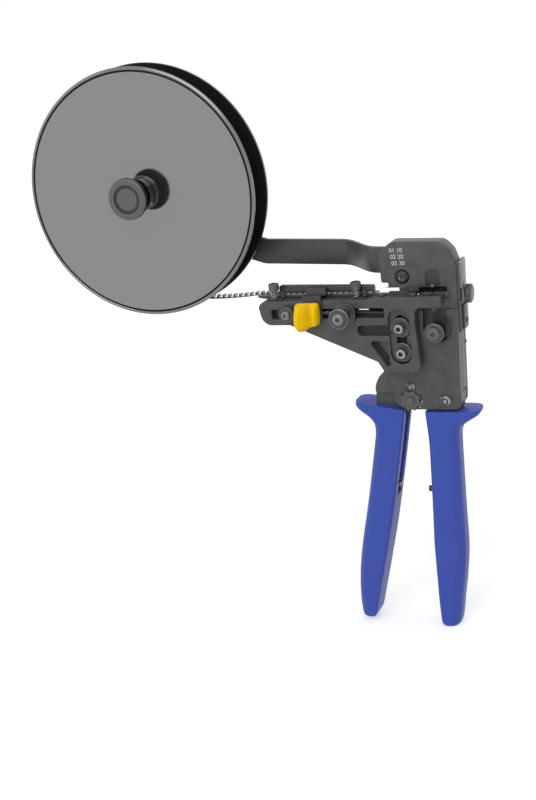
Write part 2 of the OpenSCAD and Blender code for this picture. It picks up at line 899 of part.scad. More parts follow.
moving_stations = [[-223, 62.3, 69.6, 7.4], [-221, 61.1, 70.9, 8.8], [-214, 58.8, 71.8, 9.5],
                   [-203, 55.9, 71.4, 9.8], [-190, 52.4, 70, 10], [-178, 49.3, 68, 10],
                   [-165, 45.9, 65.2, 10], [-142, 40.5, 59.6, 10], [-114, 34.5, 53.5, 10],
                   [-98, 31.2, 50.2, 10], [-92, 30, 49.1, 10], [-88, 29.2, 49.1, 10],
                   [-84, 28.4, 50.6, 10], [-80, 27.7, 54.4, 10], [-76.6, 27, 58.8, 10],
                   [-73.4, 26.4, 60.8, 10], [-69.5, 25.6, 60, 9.6]];

module moving_grip() {
    color(blue)
        difference() {
            mirror([1, 0, 0])
                loft([for (s = moving_stations) grip_ring(grip_z(s[0]), s[1], s[2], half_t(s[3]))]);
            translate([-45.8, -30, -73])
                rotate([0, 9, 0])
                    translate([-40, 0, 0])
                        cube([80, 60, 20]);
            plate(-cheek_y, cheek_y, grip_channel);
        }
}

grip_channel = [[-46.8, -60, 0], [-46.8, -76, 2], [-46.6, -92, 8], [-52.5, -122, 0],
                [-58.5, -150, 0], [-66.5, -190, 3], [-60.2, -193, 3], [-50.8, -152, 0],
                [-45, -136, 1], [-10, -134.5, 0], [-10, -60, 0]];

module handle_stop() {
    color(steel) {
        rod_y(hook_p, -cheek_y, cheek_y, 1.5);
        difference() {
            translate([hook_p.x, 0, hook_p.y])
                rotate([0, 90 - 8, 0])
                    cylinder(h = 4.4, r = 1.6);
            rod_y(hook_p, -cheek_y - 1, cheek_y + 1, 0.4);
        }
    }
}

spring_turns = 24;

module return_spring() {
    low = hook_p + [0, 2];
    high = anchor_p - [0, 2];
    len = norm(high - low);
    tilt = atan2(high.x - low.x, high.y - low.y);
    color(steel)
        translate([low.x, 0, low.y])
            rotate([0, tilt, 0])
                coil(len, return_spring_d / 2 - 0.4, 0.4, spring_turns, 5, 10);
}

// Pawl

tip_angle = 32;
tip_gap = 0.35;

module pawl() {
    tip = pivot + (sector_r + tip_gap) * [cos(tip_angle), sin(tip_angle)];
    color(steel)
        slab(-web_y, web_y)
            difference() {
                union() {
                    translate(pawl_p)
                        circle(r = 3.2);
                    polygon([pawl_p + [0, 3.2], tip + [1.2, 2.2], tip, tip + [1.6, -0.9], pawl_p + [0, -3.2]]);
                }
                translate(pawl_p)
                    circle(r = 1.5 + run);
            }
}

// Feeder

lip_x = -40.4;
pocket_floor = 2.7;
bracket_outline = [[-bracket_reach + 4.4, bracket_top, 3], [lip_x, bracket_top, 0], [lip_x + 1.4, lip_top, 0],
                   [4.6, lip_top, 0.8], [4.6, -7.8, 1.5], [-11.8, -7.8, 3.5],
                   [-12.4, -16, 0], [-11.2, -48.3, 4], [-34.3, -48.3, 0.8], [-38.1, -41.6, 0.8],
                   [-bracket_reach + 20.3, -17.3, 3], [-bracket_reach + 2.5, -17.3, 7], [-bracket_reach, -4.2, 4]];

module bracket_slots() {
    plate(bracket_y0 - 1, slot_y1, [[slot_l, slot_z - slot_h / 2, 1.2], [slot_l, slot_z + slot_h / 2, 1.2],
                                    [slot_r, slot_z + slot_h / 2, 1.2],
                                    [slot_r, slot_z - slot_h / 2, 1.2]]);
    plate(slot_y1 - 1, bracket_y1 + 1, [[stop_x + 6, slot_z - 1, 0.5], [stop_x + 6, slot_z + 1, 0.5],
                                        [stop_x + 13, slot_z + 1, 0.5], [stop_x + 13, slot_z - 1, 0.5]]);
    plate(bracket_y0 - 1, bore_floor, [[-29.3, bore_bottom, bore_w / 2 - 0.1],
                                       [-29.3, bore_top, bore_w / 2 - 0.1],
                                       [-29.3 + bore_w, bore_top, bore_w / 2 - 0.1],
                                       [-29.3 + bore_w, bore_bottom, bore_w / 2 - 0.1]]);
    slab(bore_floor - 1, bracket_y1 + 1) {
        translate(slide_pts[0] + [0, feeder_drop + play])
            circle(r = slide_pitch_clear);
        translate([slide_pts[0].x - slide_pitch_clear, slide_end_z])
            square([2 * slide_pitch_clear, slide_pts[0].y - slide_end_z + feeder_drop + play]);
    }
}

module bracket_pockets() {
    plate(bracket_y0 - 1, bracket_y1 - pocket_floor, [[-49.6, -24.9, 3.3], [-49.6, -18.1, 3.3],
                                                      [-27, -18.1, 0], [-27, -24.9, 0]]);
    plate(bracket_y0 - 1, bracket_y0 + 3.5, [[-41.5, -28.2, 1.5], [-30.2, -28.2, 0.5],
                                            [-30.2, -44.6, 1.5]]);
    slab(bracket_y0 - 1, bracket_y1 - pocket_floor)
        strap([-39.8, -30], [-31.6, -42.6], 1.8, 1.8);
}

module feeder_bracket() {
    color(bracket_grey)
        difference() {
            plate(bracket_y0, bracket_y1, bracket_outline);
            bracket_slots();
            bracket_pockets();
            translate([lip_x, track_y0 - 0.7, bracket_top])
                cube([60, 10, 5]);
            rod_z(hold_pts[0], bracket_top - 3.5, bracket_top + 5, 1.5 + fix);
            rod_z(hold_pts[1], bracket_top - 3.5, bracket_top + 5, 1.5 + fix);
            rod_z([height_x, height_y], -9, lip_top + 1, 2 + fix);
            for (p = track_pts)
                rod_z(p, bracket_top - 3.5, lip_top + 1, 1.25 + fix);
        }
}

height_x = -0.7;
height_y = -13.2;
hold_y = -13;
hold_pts = [[10.7 - bracket_reach, hold_y], [-48.9, hold_y]];
track_pts = [[-32.9, -12.7], [-13.2, -12.7]];

module linear_extrude_at(z, h) {
    translate([0, 0, z])
        linear_extrude(h)
            children();
}

// Round bar along Z at p = [x, y]
module rod_z(p, z0, z1, r) {
    translate([p.x, p.y, z0])
        cylinder(h = z1 - z0, r = r);
}

module strip_track() {
    color(dark_grey)
        difference() {
            union() {
                linear_extrude_at(bracket_top, track_t)
                    polygon([[track_l + 6, track_y0], [track_l, track_y0 + 3], [track_l, track_y1],
                             [track_step_x, track_y1], [track_step_x, track_rear], [track_r, track_rear],
                             [track_r, track_y0 - 0.4], [lip_x + 1, track_y0 - 0.4],
                             [lip_x + 1, track_y0]]);
                translate([guide_rail_l, track_y0 - 0.4, track_top - 0.1])
                    cube([track_pts[1].x - 4 - guide_rail_l, 0.9, 1.5]);
            }
            for (p = track_pts)
                rod_z(p, lip_top, track_top + 1, track_head_r + fix);
        }
}

track_head_r = 2.7;
guide_rail_l = -28.7;

module track_screws() {
    color(dark_grey)
        for (p = track_pts)
            difference() {
                union() {
                    rod_z(p, bracket_top - 3, lip_top, 1.25);
                    rod_z(p, lip_top, lip_top + 0.8, track_head_r);
                    translate([p.x, p.y, lip_top + 0.8])
                        cylinder(h = 0.9, r1 = track_head_r, r2 = track_head_r - 0.9);
                }
                translate([p.x, p.y, lip_top + 0.7])
                    cylinder(h = 2, d = 1.5 / cos(30), $fn = 6);
            }
}

ear_t = 0.8;
ear_z = bracket_top + play;
hold_head_z = 4.4;

module hold_screws() {
    color(steel)
        for (p = hold_pts)
            difference() {
                union() {
                    rod_z(p, bracket_top - 3, hold_head_z, 1.5);
                    rod_z(p, hold_head_z, hold_head_z + 4.3, hold_head_d / 2);
                }
                translate([p.x, p.y, hold_head_z + 2])
                    cylinder(h = 3, d = 3 / cos(30), $fn = 6);
            }
}

hold_lift = 1.5;
bar_y0 = -9.2;
bar_y1 = -5.6;
bar_z0 = 1.3;
bar_z1 = 6.2;
bar_l = hold_pts[0].x + 2.1;
bar_r = hold_pts[1].x + 10.1;

// Ear of the hold-down under the screw at p, with its leg in front of the track
module hold_ear(p) {
    translate([p.x - 3, p.y - 3.1, ear_z])
        cube([8.4, 5.4, ear_t]);
    translate([p.x + 3.3, p.y + 1.6, ear_z])
        cube([2.1, 0.7, bar_z0 + 2 - ear_z]);
    translate([p.x + 3.3, p.y + 1.6, bar_z0])
        cube([2.1, bar_y0 - p.y - 1.5, 2]);
}

module hold_down() {
    color(dark_grey)
        difference() {
            union() {
                plate(bar_y0, bar_y1, [[bar_l, bar_z0, 0.3], [bar_l, bar_z1, 0.8], [bar_r, bar_z1 - 1.1, 1.5],
                                       [bar_r, bar_z0, 0.3]]);
                for (p = hold_pts)
                    hold_ear(p);
            }
            plate(carrier_y + carrier_w - 0.1 - play, bar_y1 + 1,
                  [[bar_l - 1, bar_z0 - 1, 0], [bar_l - 1, strip_z + barrel_h + play, 0],
                   [bar_r + 1, strip_z + barrel_h + play, 0], [bar_r + 1, bar_z0 - 1, 0]]);
            for (p = hold_pts)
                rod_z(p, bracket_top - 1, hold_head_z, 1.5 + play);
        }
}

module hold_springs() {
    z0 = ear_z + ear_t;
    color(steel)
        for (p = hold_pts)
            translate([p.x, p.y, z0])
                coil(hold_head_z - z0, 2.2, 0.35, 3.5);
}

module stop_knob() {
    p = [stop_x, slot_z];
    color(dark_grey)
        difference() {
            union() {
                rod_y(p, bracket_y0, slot_y1, slot_h / 2 - 0.05);
                rod_y(p, bracket_y0 - 1.2, bracket_y0, 6.5);
                rod_y(p, bracket_y0 - 11, bracket_y0 - 1.2, 4);
                knob_y(p, bracket_y0 - 13, bracket_y0 - 11, 6.5, 0.4);
                knob_y(p, bracket_y0 - 15, bracket_y0 - 13, 3.5, 0.4);
            }
            hex_hole(p, bracket_y0 - 15, 2, 2.5);
        }
}

module check_leaf() {
    color(steel)
        plate(bracket_y0 + 2, bracket_y0 + 6, [[stop_x + 6.5, slot_z - 0.2, 0],
                                               [stop_x + 6.5, slot_z + 0.8, 0],
                                               [slot_r, slot_z + 0.2, 0], [slot_r, slot_z - 0.6, 0]]);
}

module height_screw() {
    color(steel)
        rod_z([height_x, height_y], -10.2, lip_top, 2);
}

module feed_spring() {
    l = carriage_r - 2;
    r = stop_x - slot_h / 2;
    color(steel)
        translate([l, feed_spring_y, slot_z])
            rotate([0, 90, 0])
                coil(r - l, 1.6, 0.35, 7);
}

// Strip and its terminals

strip_end = -39.4;
terminal_n = floor((strip_end - reel_c.x) / strip_pitch);
carrier_w = 3;
barrel_len = 4;
barrel_w = 1.4;
barrel_h = 1.6;
coil_z = reel_c.y - coil_d / 2;

// Level of the free strip: straight on the track, slack to the winding
function strip_at(x) = x > track_l ? strip_z :
    let (t = (track_l - x) / (track_l - reel_c.x))
    strip_z + (coil_z - play - barrel_h - strip_z) * t ^ 2 - 7.6 * t * (1 - t);

module terminal_strip() {
    xs = concat([strip_end, track_l + 2], [for (i = [0:16]) track_l + (reel_c.x - track_l) * i / 16]);
    color(steel) {
        slab(carrier_y, carrier_y + carrier_w)
            polygon(concat([for (x = xs) [x, strip_at(x)]],
                           [for (i = [len(xs) - 1:-1:0]) [xs[i], strip_at(xs[i]) + strip_t]]));
        for (i = [0:terminal_n - 1])
            let (x = strip_end - 1.2 - i * strip_pitch, turn = atan2(strip_at(x) - strip_at(x - 1), 1))
                translate([x, 0, strip_at(x)])
                    rotate([0, -turn, 0])
                        slab(carrier_y + carrier_w - 0.1, carrier_y + carrier_w + barrel_len)
                            polygon([[-barrel_w / 2, 0], [-barrel_w / 2, barrel_h],
                                     [strip_t - barrel_w / 2, barrel_h], [strip_t - barrel_w / 2, strip_t],
                                     [barrel_w / 2 - strip_t, strip_t], [barrel_w / 2 - strip_t, barrel_h],
                                     [barrel_w / 2, barrel_h], [barrel_w / 2, 0]]);
    }
}

// Feed carriage

feed_spring_y = -13.6;
riser_l = pad_x - 4;
riser_w = 12;

module feed_carriage() {
    color(dark_grey)
        difference() {
            union() {
                plate(bracket_y0 - 1, slot_y1 - play,
                      [[carriage_l, slot_z - slot_h / 2 + play, 0.5],
                       [carriage_l, slot_z + slot_h / 2 - play, 0.5],
                       [carriage_r, slot_z + slot_h / 2 - play, 0.5],
                       [carriage_r, slot_z - slot_h / 2 + play, 0.5]]);
                plate(pad_y1, bracket_y0 - play,
                      [[riser_l, slot_z - 3, 0], [riser_l, track_top + play + 0.9, 0],
                       [riser_l + riser_w, track_top + play + 0.9, 0], [riser_l + riser_w, slot_z - 3, 0]]);
                translate([riser_l, pad_y1, track_top + play])
                    cube([riser_w, 7, 0.9]);
                translate([riser_l + 2, -13.6, track_top + play])
                    cube([riser_w, 3.25, 4.6]);
            }
            translate([carriage_r - 2 - feed_stroke - play, feed_spring_y, slot_z])
                rotate([0, 90, 0])
                    cylinder(h = 20, r = 2.3);
            rod_y(finger_p, finger_y - 0.7, finger_y + 1, 0.9);
        }
}

module thumb_pad() {
    color(yellow)
        difference() {
            intersection() {
                translate([0, 0, -20])
                    linear_extrude(22)
                        polygon(rounded([[pad_l, pad_y1, 0.5], [pad_l, -30.5, 2.5], [pad_x - 2, -30.5, 2],
                                         [pad_x + 1, -26.8, 0], [pad_r - 0.6, -26.8, 2.5],
                                         [pad_r, pad_y1, 0.5]]));
                plate(-40, 0, [[pad_l, -18, 3], [pad_l, 0.6, 3.5], [pad_r, 0.2, 3.5],
                               [pad_r, -14.8, 4], [pad_x + 1, -16.6, 4]]);
                translate([pad_l - 1, 0, 0])
                    rotate([90, 0, 90])
                        linear_extrude(pad_r - pad_l + 2)
                            polygon([[-33, -21], [-33, 1.6], [pad_y1, -2.6], [pad_y1, -21]]);
            }
            translate([pad_x + 0.6, -31.4, -21])
                cylinder(h = 22, r = 5.2);
        }
}

module guide_knob() {
    p = [carriage_l + 6.6, slot_z + 1];
    color(dark_grey)
        difference() {
            union() {
                rod_y(p, bracket_y0 - 3, bracket_y0 - 1, 3.4);
                knob_y(p, bracket_y0 - 5, bracket_y0 - 3, 5, 0.4);
                knob_y(p, bracket_y0 - 7, bracket_y0 - 5, 2.8, 0.4);
            }
            hex_hole(p, bracket_y0 - 7, 1.8, 2.5);
        }
}

finger_y = -10.05;
finger_tip = [finger_p.x + 4.2, strip_z + strip_t + 0.4 + play];

// Pawl that drops between the terminals, with its own pin in the carriage
module feed_finger() {
    color(steel) {
        slab(finger_y, finger_y + 0.5)
            strap(finger_p, finger_tip, 1.3, 0.4);
        rod_y(finger_p, finger_y - 0.7 + run, finger_y, 0.9 - run);
    }
}

// Reel

module reel_front() {
    color([0.5, 0.5, 0.5])
        difference() {
            union() {
                rod_y(reel_c, reel_y0 + 0.5, reel_y0 + flange_t, reel_d / 2);
                ring_y(reel_c, reel_y0, reel_y0 + 0.6, reel_d / 2 - 0.2, reel_d / 2 - 2.2);
                rod_y(reel_c, reel_y0 + 0.1, reel_y0 + 0.6, reel_d / 2 - 3.2);
            }
            rod_y(reel_c, reel_y0 - 1, reel_y0 + flange_t + 1, spindle_d / 2 + run);
        }
}

module ring_y(p, y0, y1, r_out, r_in) {
    difference() {
        rod_y(p, y0, y1, r_out);
        rod_y(p, y0 - 1, y1 + 1, r_in);
    }
}

module reel_rear() {
    color(dark_grey)
        difference() {
            union() {
                rod_y(reel_c, reel_y1 - flange_t, reel_y1, reel_d / 2);
                rod_y(reel_c, reel_y0 + flange_t, reel_y1 - flange_t, hub_r);
            }
            rod_y(reel_c, reel_y0, reel_y1 + 1, spindle_d / 2 + run);
        }
}

module wound_strip() {
    color(steel)
        ring_y(reel_c, carrier_y - play, carrier_y + carrier_w + barrel_len + 3, coil_d / 2, hub_r);
}

module reel_knob() {
    back = reel_y0 - play;
    front = back - knob_len;
    color(dark_grey)
        difference() {
            union() {
                rod_y(reel_c, back - 5.4, back, knob_d / 2 - 2.4);
                rod_y(reel_c, back - 7, back - 5.4, knob_d / 2 - 5);
                rod_y(reel_c, front + 4.5, back - 7, knob_d / 2 - 3.9);
                rod_y(reel_c, front + 3.4, front + 4.5, knob_d / 2 - 1.5);
                knob_y(reel_c, front, front + 3.4, knob_d / 2, 0.9);
            }
            rod_y(reel_c, front + 4, back + 1, spindle_d / 2 + run);
            ring_y(reel_c, front - 1, front + 0.6, knob_d / 2 - 3.7, knob_d / 2 - 5.2);
        }
}

// The frame's origin is the middle of the fixed grip
module placed() {
    translate([-hold_x, 0, -hold_z])
        children();
}

placed() head_block();
placed() front_plate();
placed() rear_plate();
placed() guide_block();
placed() upper_die();
placed() die_keeper();
placed() keeper_screw();
placed() main_pivot();
placed() adjust_wheel();
placed() lock_screw();
placed() handle_tang();
placed() fixed_grip();
placed() tang_screws();
placed() frame_rivets();
placed() stop_stud();
placed() frame_pins();
placed() reel_arm();
placed() arm_screws();
placed() spindle();
placed() slide_screws();
placed() slide_washers();
placed() side_guide();
placed() guide_foot();
placed() foot_screw();
placed() ram();
placed() lower_die();
placed() ram_pin();
placed() ram_roller();
placed() toggle_link();
placed() lever_front();
placed() lever_rear();
placed() ratchet_sector();
placed() knee_pin();
placed() moving_grip();
placed() handle_stop();
placed() return_spring();
placed() pawl();
placed() feeder_bracket();
placed() strip_track();
placed() track_screws();
placed() hold_screws();
placed() stop_knob();
placed() check_leaf();
placed() height_screw();
placed() terminal_strip();
placed() feed_spring();
placed() feed_carriage();
placed() thumb_pad();
placed() guide_knob();
placed() feed_finger();
placed() hold_down();
placed() hold_springs();
placed() reel_front();
placed() reel_rear();
placed() wound_strip();
placed() reel_knob();
placed() locator();
placed() thumb_screw();
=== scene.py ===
import json
import logging
import math
from contextlib import contextmanager
from dataclasses import dataclass
from enum import Enum
from typing import Callable, Iterator, Sequence

import bpy
from mathutils import Matrix, Vector


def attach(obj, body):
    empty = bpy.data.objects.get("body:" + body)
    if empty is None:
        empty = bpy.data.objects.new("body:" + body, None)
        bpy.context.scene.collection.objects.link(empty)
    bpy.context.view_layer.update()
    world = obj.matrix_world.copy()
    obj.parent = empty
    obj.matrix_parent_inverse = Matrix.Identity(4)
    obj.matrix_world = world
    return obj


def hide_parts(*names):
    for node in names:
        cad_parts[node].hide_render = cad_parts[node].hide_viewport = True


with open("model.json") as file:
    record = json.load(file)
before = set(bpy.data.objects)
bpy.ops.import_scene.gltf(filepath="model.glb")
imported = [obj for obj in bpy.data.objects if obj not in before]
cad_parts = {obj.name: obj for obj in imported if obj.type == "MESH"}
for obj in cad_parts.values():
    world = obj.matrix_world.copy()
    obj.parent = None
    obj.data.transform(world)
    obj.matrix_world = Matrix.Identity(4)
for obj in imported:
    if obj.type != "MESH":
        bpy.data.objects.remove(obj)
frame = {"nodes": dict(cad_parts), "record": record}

log = logging.getLogger("crimp_tool")
Colour = tuple[float, float, float]
Pair = tuple[float, float]
Spot = tuple[float, float, float]
Rings = tuple[tuple[float, float, float, float], ...]

MM = 0.001  # metres in a millimetre
MERGE = 1e-6  # metres within which two points are one
LEVEL = 1e-5  # metres within which a face lies at a level
SHIFT = Vector((4.5, 0.0, 151.3))  # millimetres from the tool's own frame to the row frame
FACE_Y = -8.0  # front of the head block and of the front plate, in millimetres
FORWARD = -0.9  # Y of a face's normal, under which the face looks forward

NODES = frame["nodes"]
BODIES = frame["record"]["behaviour"]["bodies"]
BODY_OF = {node: body for body, nodes in BODIES.items() for node in nodes}
SLOT_OF = {row["node"]: row["material_slot"] for row in frame["record"]["subparts"]}


def place(x: float, y: float, z: float) -> Vector:
    """Turn a point of the tool's own frame into the row frame.

    Args:
        x: Millimetres to the right.
        y: Millimetres to the back.
        z: Millimetres above the strip's level.

    Returns:
        The point in metres.
    """
    return (Vector((x, y, z)) + SHIFT) * MM


def off_axis(point: Vector, axis: Vector) -> float:
    """Give a point's distance in millimetres from an axis that runs from front to back."""
    return math.hypot(point.x - axis.x, point.z - axis.z) / MM


class Facing(Enum):
    """Direction that the own Z axis of a turned piece takes."""

    FRONT = (0.0, -1.0, 0.0)
    UP = (0.0, 0.0, 1.0)
    RIGHT = (1.0, 0.0, 0.0)


class Texture(Enum):
    """Fine structure of a finish."""

    GRAIN = "grain"
    BRUSHED = "brushed"
    MOULDED = "moulded"


# Shared effects, as node groups


def math_node(tree: bpy.types.NodeTree, operation: str,
              *inputs: bpy.types.NodeSocket | float) -> bpy.types.NodeSocket:
    """Add a math node and feed it.

    Args:
        tree: The tree to add it to.
        operation: The node's operation.
        *inputs: A socket or a number for each of its inputs.

    Returns:
        The node's result.
    """
    node = tree.nodes.new("ShaderNodeMath")
    node.operation = operation
    for number, value in enumerate(inputs):
        if isinstance(value, bpy.types.NodeSocket):
            tree.links.new(value, node.inputs[number])
        else:
            node.inputs[number].default_value = value
    return node.outputs[0]


def scaled(tree: bpy.types.NodeTree, colour: bpy.types.NodeSocket,
           factor: bpy.types.NodeSocket) -> bpy.types.NodeSocket:
    """Add a node that multiplies a colour by a factor.

    Args:
        tree: The tree to add it to.
        colour: Socket of the colour.
        factor: Socket of the factor.

    Returns:
        The node's result.
    """
    node = tree.nodes.new("ShaderNodeVectorMath")
    node.operation = "SCALE"
    tree.links.new(colour, node.inputs[0])
    tree.links.new(factor, node.inputs["Scale"])
    return node.outputs[0]


class Effects:
    """Node groups that several finishes use, each built once."""

    stretch = {
        Texture.GRAIN: (1.0, 1.0, 1.0),
        Texture.BRUSHED: (0.12, 1.0, 1.6),
        Texture.MOULDED: (1.0, 1.0, 0.7),
    }
    blotch_scale = 110.0
    fine_share = 0.35
    made: dict[Texture, bpy.types.NodeTree] = {}

    @classmethod
    def group(cls, texture: Texture) -> bpy.types.NodeTree:
        """Give the node group of a texture, made at its first use.

        Args:
            texture: Which fine structure is wanted.

        Returns:
            A group with Colour, Roughness and Height outputs.
        """
        if texture not in cls.made:
            cls.made[texture] = cls.build(texture)
        return cls.made[texture]

    @classmethod
    def build(cls, texture: Texture) -> bpy.types.NodeTree:
        """Make one group from a fine noise and slow blotches.

        Args:
            texture: Which fine structure is wanted.

        Returns:
            The new group.
        """
        tree = bpy.data.node_groups.new(f"surface_{texture.value}", "ShaderNodeTree")
        face, nodes, links = tree.interface, tree.nodes, tree.links
        defaults = {"Scale": 900.0, "Variation": 0.1, "Roughness": 0.5, "Smudge": 0.1}
        for name, value in defaults.items():
            socket = face.new_socket(name, in_out="INPUT", socket_type="NodeSocketFloat")
            socket.default_value = value
        face.new_socket("Base", in_out="INPUT", socket_type="NodeSocketColor")
        for name, kind in (("Colour", "Color"), ("Roughness", "Float"), ("Height", "Float")):
            face.new_socket(name, in_out="OUTPUT", socket_type=f"NodeSocket{kind}")
        given = nodes.new("NodeGroupInput").outputs
        result = nodes.new("NodeGroupOutput").inputs
        coords, mapping = nodes.new("ShaderNodeTexCoord"), nodes.new("ShaderNodeMapping")
        mapping.inputs["Scale"].default_value = cls.stretch[texture]
        links.new(coords.outputs["Object"], mapping.inputs["Vector"])
        fine, broad = nodes.new("ShaderNodeTexNoise"), nodes.new("ShaderNodeTexNoise")
        fine.inputs["Detail"].default_value = 4.0 if texture is Texture.GRAIN else 2.0
        fine.inputs["Roughness"].default_value = 0.6
        broad.inputs["Scale"].default_value = cls.blotch_scale
        broad.inputs["Detail"].default_value = 3.0
        links.new(mapping.outputs["Vector"], fine.inputs["Vector"])
        links.new(given["Scale"], fine.inputs["Scale"])
        links.new(coords.outputs["Object"], broad.inputs["Vector"])
        blotches = math_node(tree, "MULTIPLY", broad.outputs["Fac"], 1.0 - cls.fine_share)
        mixed = math_node(tree, "MULTIPLY_ADD", fine.outputs["Fac"], cls.fine_share, blotches)
        centred = math_node(tree, "SUBTRACT", mixed, 0.5)
        tone = math_node(tree, "MULTIPLY_ADD", centred, given["Variation"], 1.0)
        stain = math_node(tree, "MULTIPLY_ADD", centred, given["Smudge"], given["Roughness"])
        links.new(scaled(tree, given["Base"], tone), result["Colour"])
        links.new(stain, result["Roughness"])
        links.new(fine.outputs["Fac"], result["Height"])
        return tree


@dataclass(frozen=True)
class Finish:
    """One finish of the tool, as a procedural material.

    The colour is linear. Scale is the grain's frequency per metre and depth
    the height of its relief in metres. Hollow gives the middle and the half
    width, in metres along X, of an upright hollow in which shade is painted,
    darkening the colour down to the hollow's tone.
    """

    label: str
    colour: Colour
    roughness: float
    metallic: float = 0.0
    texture: Texture = Texture.GRAIN
    scale: float = 900.0
    variation: float = 0.25
    smudge: float = 0.12
    depth: float = 0.00002
    coat: float = 0.0
    specular: float = 0.5
    hollow: Pair | None = None
    hollow_tone: float = 0.74

    def material(self) -> bpy.types.Material:
        """Give the finish's material, made at its first use.

        Returns:
            The one material of this finish.
        """
        name = f"finish_{self.label}"
        found = bpy.data.materials.get(name)
        if found:
            return found
        made = bpy.data.materials.new(name)
        made.use_nodes = True
        nodes, links = made.node_tree.nodes, made.node_tree.links
        shader = nodes["Principled BSDF"]
        effect = nodes.new("ShaderNodeGroup")
        effect.node_tree = Effects.group(self.texture)
        bump = nodes.new("ShaderNodeBump")
        for node, values in (
            (shader, {"Metallic": self.metallic, "Coat Weight": self.coat, "Coat Roughness": 0.12,
                      "Specular IOR Level": self.specular}),
            (effect, {"Scale": self.scale, "Variation": self.variation,
                      "Roughness": self.roughness, "Smudge": self.smudge,
                      "Base": (*self.colour, 1.0)}),
            (bump, {"Distance": self.depth, "Strength": 0.6}),
        ):
            for socket, value in values.items():
                node.inputs[socket].default_value = value
        tinted = self.shade_hollow(made.node_tree, effect.outputs["Colour"])
        links.new(tinted, shader.inputs["Base Color"])
        links.new(effect.outputs["Roughness"], shader.inputs["Roughness"])
        links.new(effect.outputs["Height"], bump.inputs["Height"])
        links.new(bump.outputs["Normal"], shader.inputs["Normal"])
        made.diffuse_color = (*self.colour, 1.0)
        return made

    def shade_hollow(self, tree: bpy.types.NodeTree,
                     colour: bpy.types.NodeSocket) -> bpy.types.NodeSocket:
        """Paint shade along an upright hollow, where the finish names one.

        Args:
            tree: The material's node tree.
            colour: The socket that gives the plain colour.

        Returns:
            The socket that gives the colour to use.
        """
        if not self.hollow:
            return colour
        middle, width = self.hollow
        coords = tree.nodes.new("ShaderNodeTexCoord")
        parts = tree.nodes.new("ShaderNodeSeparateXYZ")
        tree.links.new(coords.outputs["Object"], parts.inputs[0])
        aside = math_node(tree, "SUBTRACT", parts.outputs["X"], middle)
        level = tree.nodes.new("ShaderNodeMapRange")
        level.interpolation_type = "SMOOTHSTEP"
        level.inputs["From Max"].default_value = width
        level.inputs["To Min"].default_value = self.hollow_tone
        tree.links.new(math_node(tree, "ABSOLUTE", aside), level.inputs["Value"])
        return scaled(tree, colour, level.outputs["Result"])


BODY_BLACK = Finish("body_black", (0.058, 0.058, 0.0585), 0.42, variation=1.9, smudge=0.35)
HEAD_BLACK = Finish("head_black", (0.066, 0.066, 0.0665), 0.40, variation=1.4, smudge=0.3)
BRACKET_BLACK = Finish("bracket_black", (0.064, 0.064, 0.0645), 0.44, variation=1.4, smudge=0.3)
TRACK_BLACK = Finish("track_black", (0.034, 0.034, 0.035), 0.34, variation=0.5, smudge=0.2)
ARM_BLACK = Finish("arm_black", (0.050, 0.050, 0.0505), 0.38, variation=0.25, smudge=0.15)
# Painted shade, near black: recess floors, socket floors and the keeper's border.
PAINTED_SHADE_BLACK = Finish("painted_shade_black", (0.016, 0.016, 0.0165), 0.45)
# Painted shade for grooves, near black.
PAINTED_GROOVE_SHADE = Finish("painted_groove_shade", (0.006, 0.006, 0.006), 0.5, specular=0.15)
SOFT_EDGE = Finish("soft_edge", (0.105, 0.105, 0.107), 0.36, metallic=0.2, variation=0.7)
# Painted highlight: light grey for lit chamfers and edges.
PAINTED_HIGHLIGHT_EDGE = Finish("painted_highlight_edge", (0.58, 0.58, 0.585), 0.30, metallic=0.4, variation=0.6)
WHEEL_GREY = Finish("wheel_grey", (0.085, 0.085, 0.086), 0.42, variation=0.6, smudge=0.2)
TAB_STEEL = Finish("tab_steel", (0.185, 0.185, 0.187), 0.34, metallic=0.5, variation=0.6)
KNOB_EDGE = Finish("knob_edge", (0.17, 0.17, 0.172), 0.30, metallic=0.5, variation=0.9)
DARK_SCREW = Finish("dark_screw", (0.060, 0.060, 0.062), 0.28, metallic=0.35, variation=0.6)
BLACK_SCREW = Finish("black_screw", (0.022, 0.022, 0.023), 0.3)
WORN_SCREW = Finish("worn_screw", (0.20, 0.20, 0.203), 0.26, metallic=0.7, variation=0.9,
                    scale=1300.0)
BRIGHT_SCREW = Finish("bright_screw", (0.33, 0.33, 0.335), 0.24, metallic=0.9, variation=0.5,
                      scale=1500.0)
CAP_STEEL = Finish("cap_steel", (0.115, 0.115, 0.117), 0.26, metallic=0.6, variation=0.9)
GLINT = Finish("glint", (0.85, 0.85, 0.85), 0.3, metallic=0.3)
GROUND_STEEL = Finish("ground_steel", (0.42, 0.42, 0.43), 0.28, metallic=1.0,
                      texture=Texture.BRUSHED, scale=2200.0)
DIE_STEEL = Finish("die_steel", (0.15, 0.15, 0.153), 0.3, metallic=0.6, texture=Texture.BRUSHED,
                   scale=2400.0)
SPRING_STEEL = Finish("spring_steel", (0.30, 0.30, 0.305), 0.22, metallic=1.0)
TIN_PLATE = Finish("tin_plate", (0.24, 0.24, 0.238), 0.28, metallic=1.0, variation=0.7,
                   scale=1500.0)
BLUE_MOULDED = Finish("blue_moulded", (0.051, 0.091, 0.435), 0.38, texture=Texture.MOULDED,
                      scale=1800.0, variation=0.12, depth=0.000008, specular=0.2)
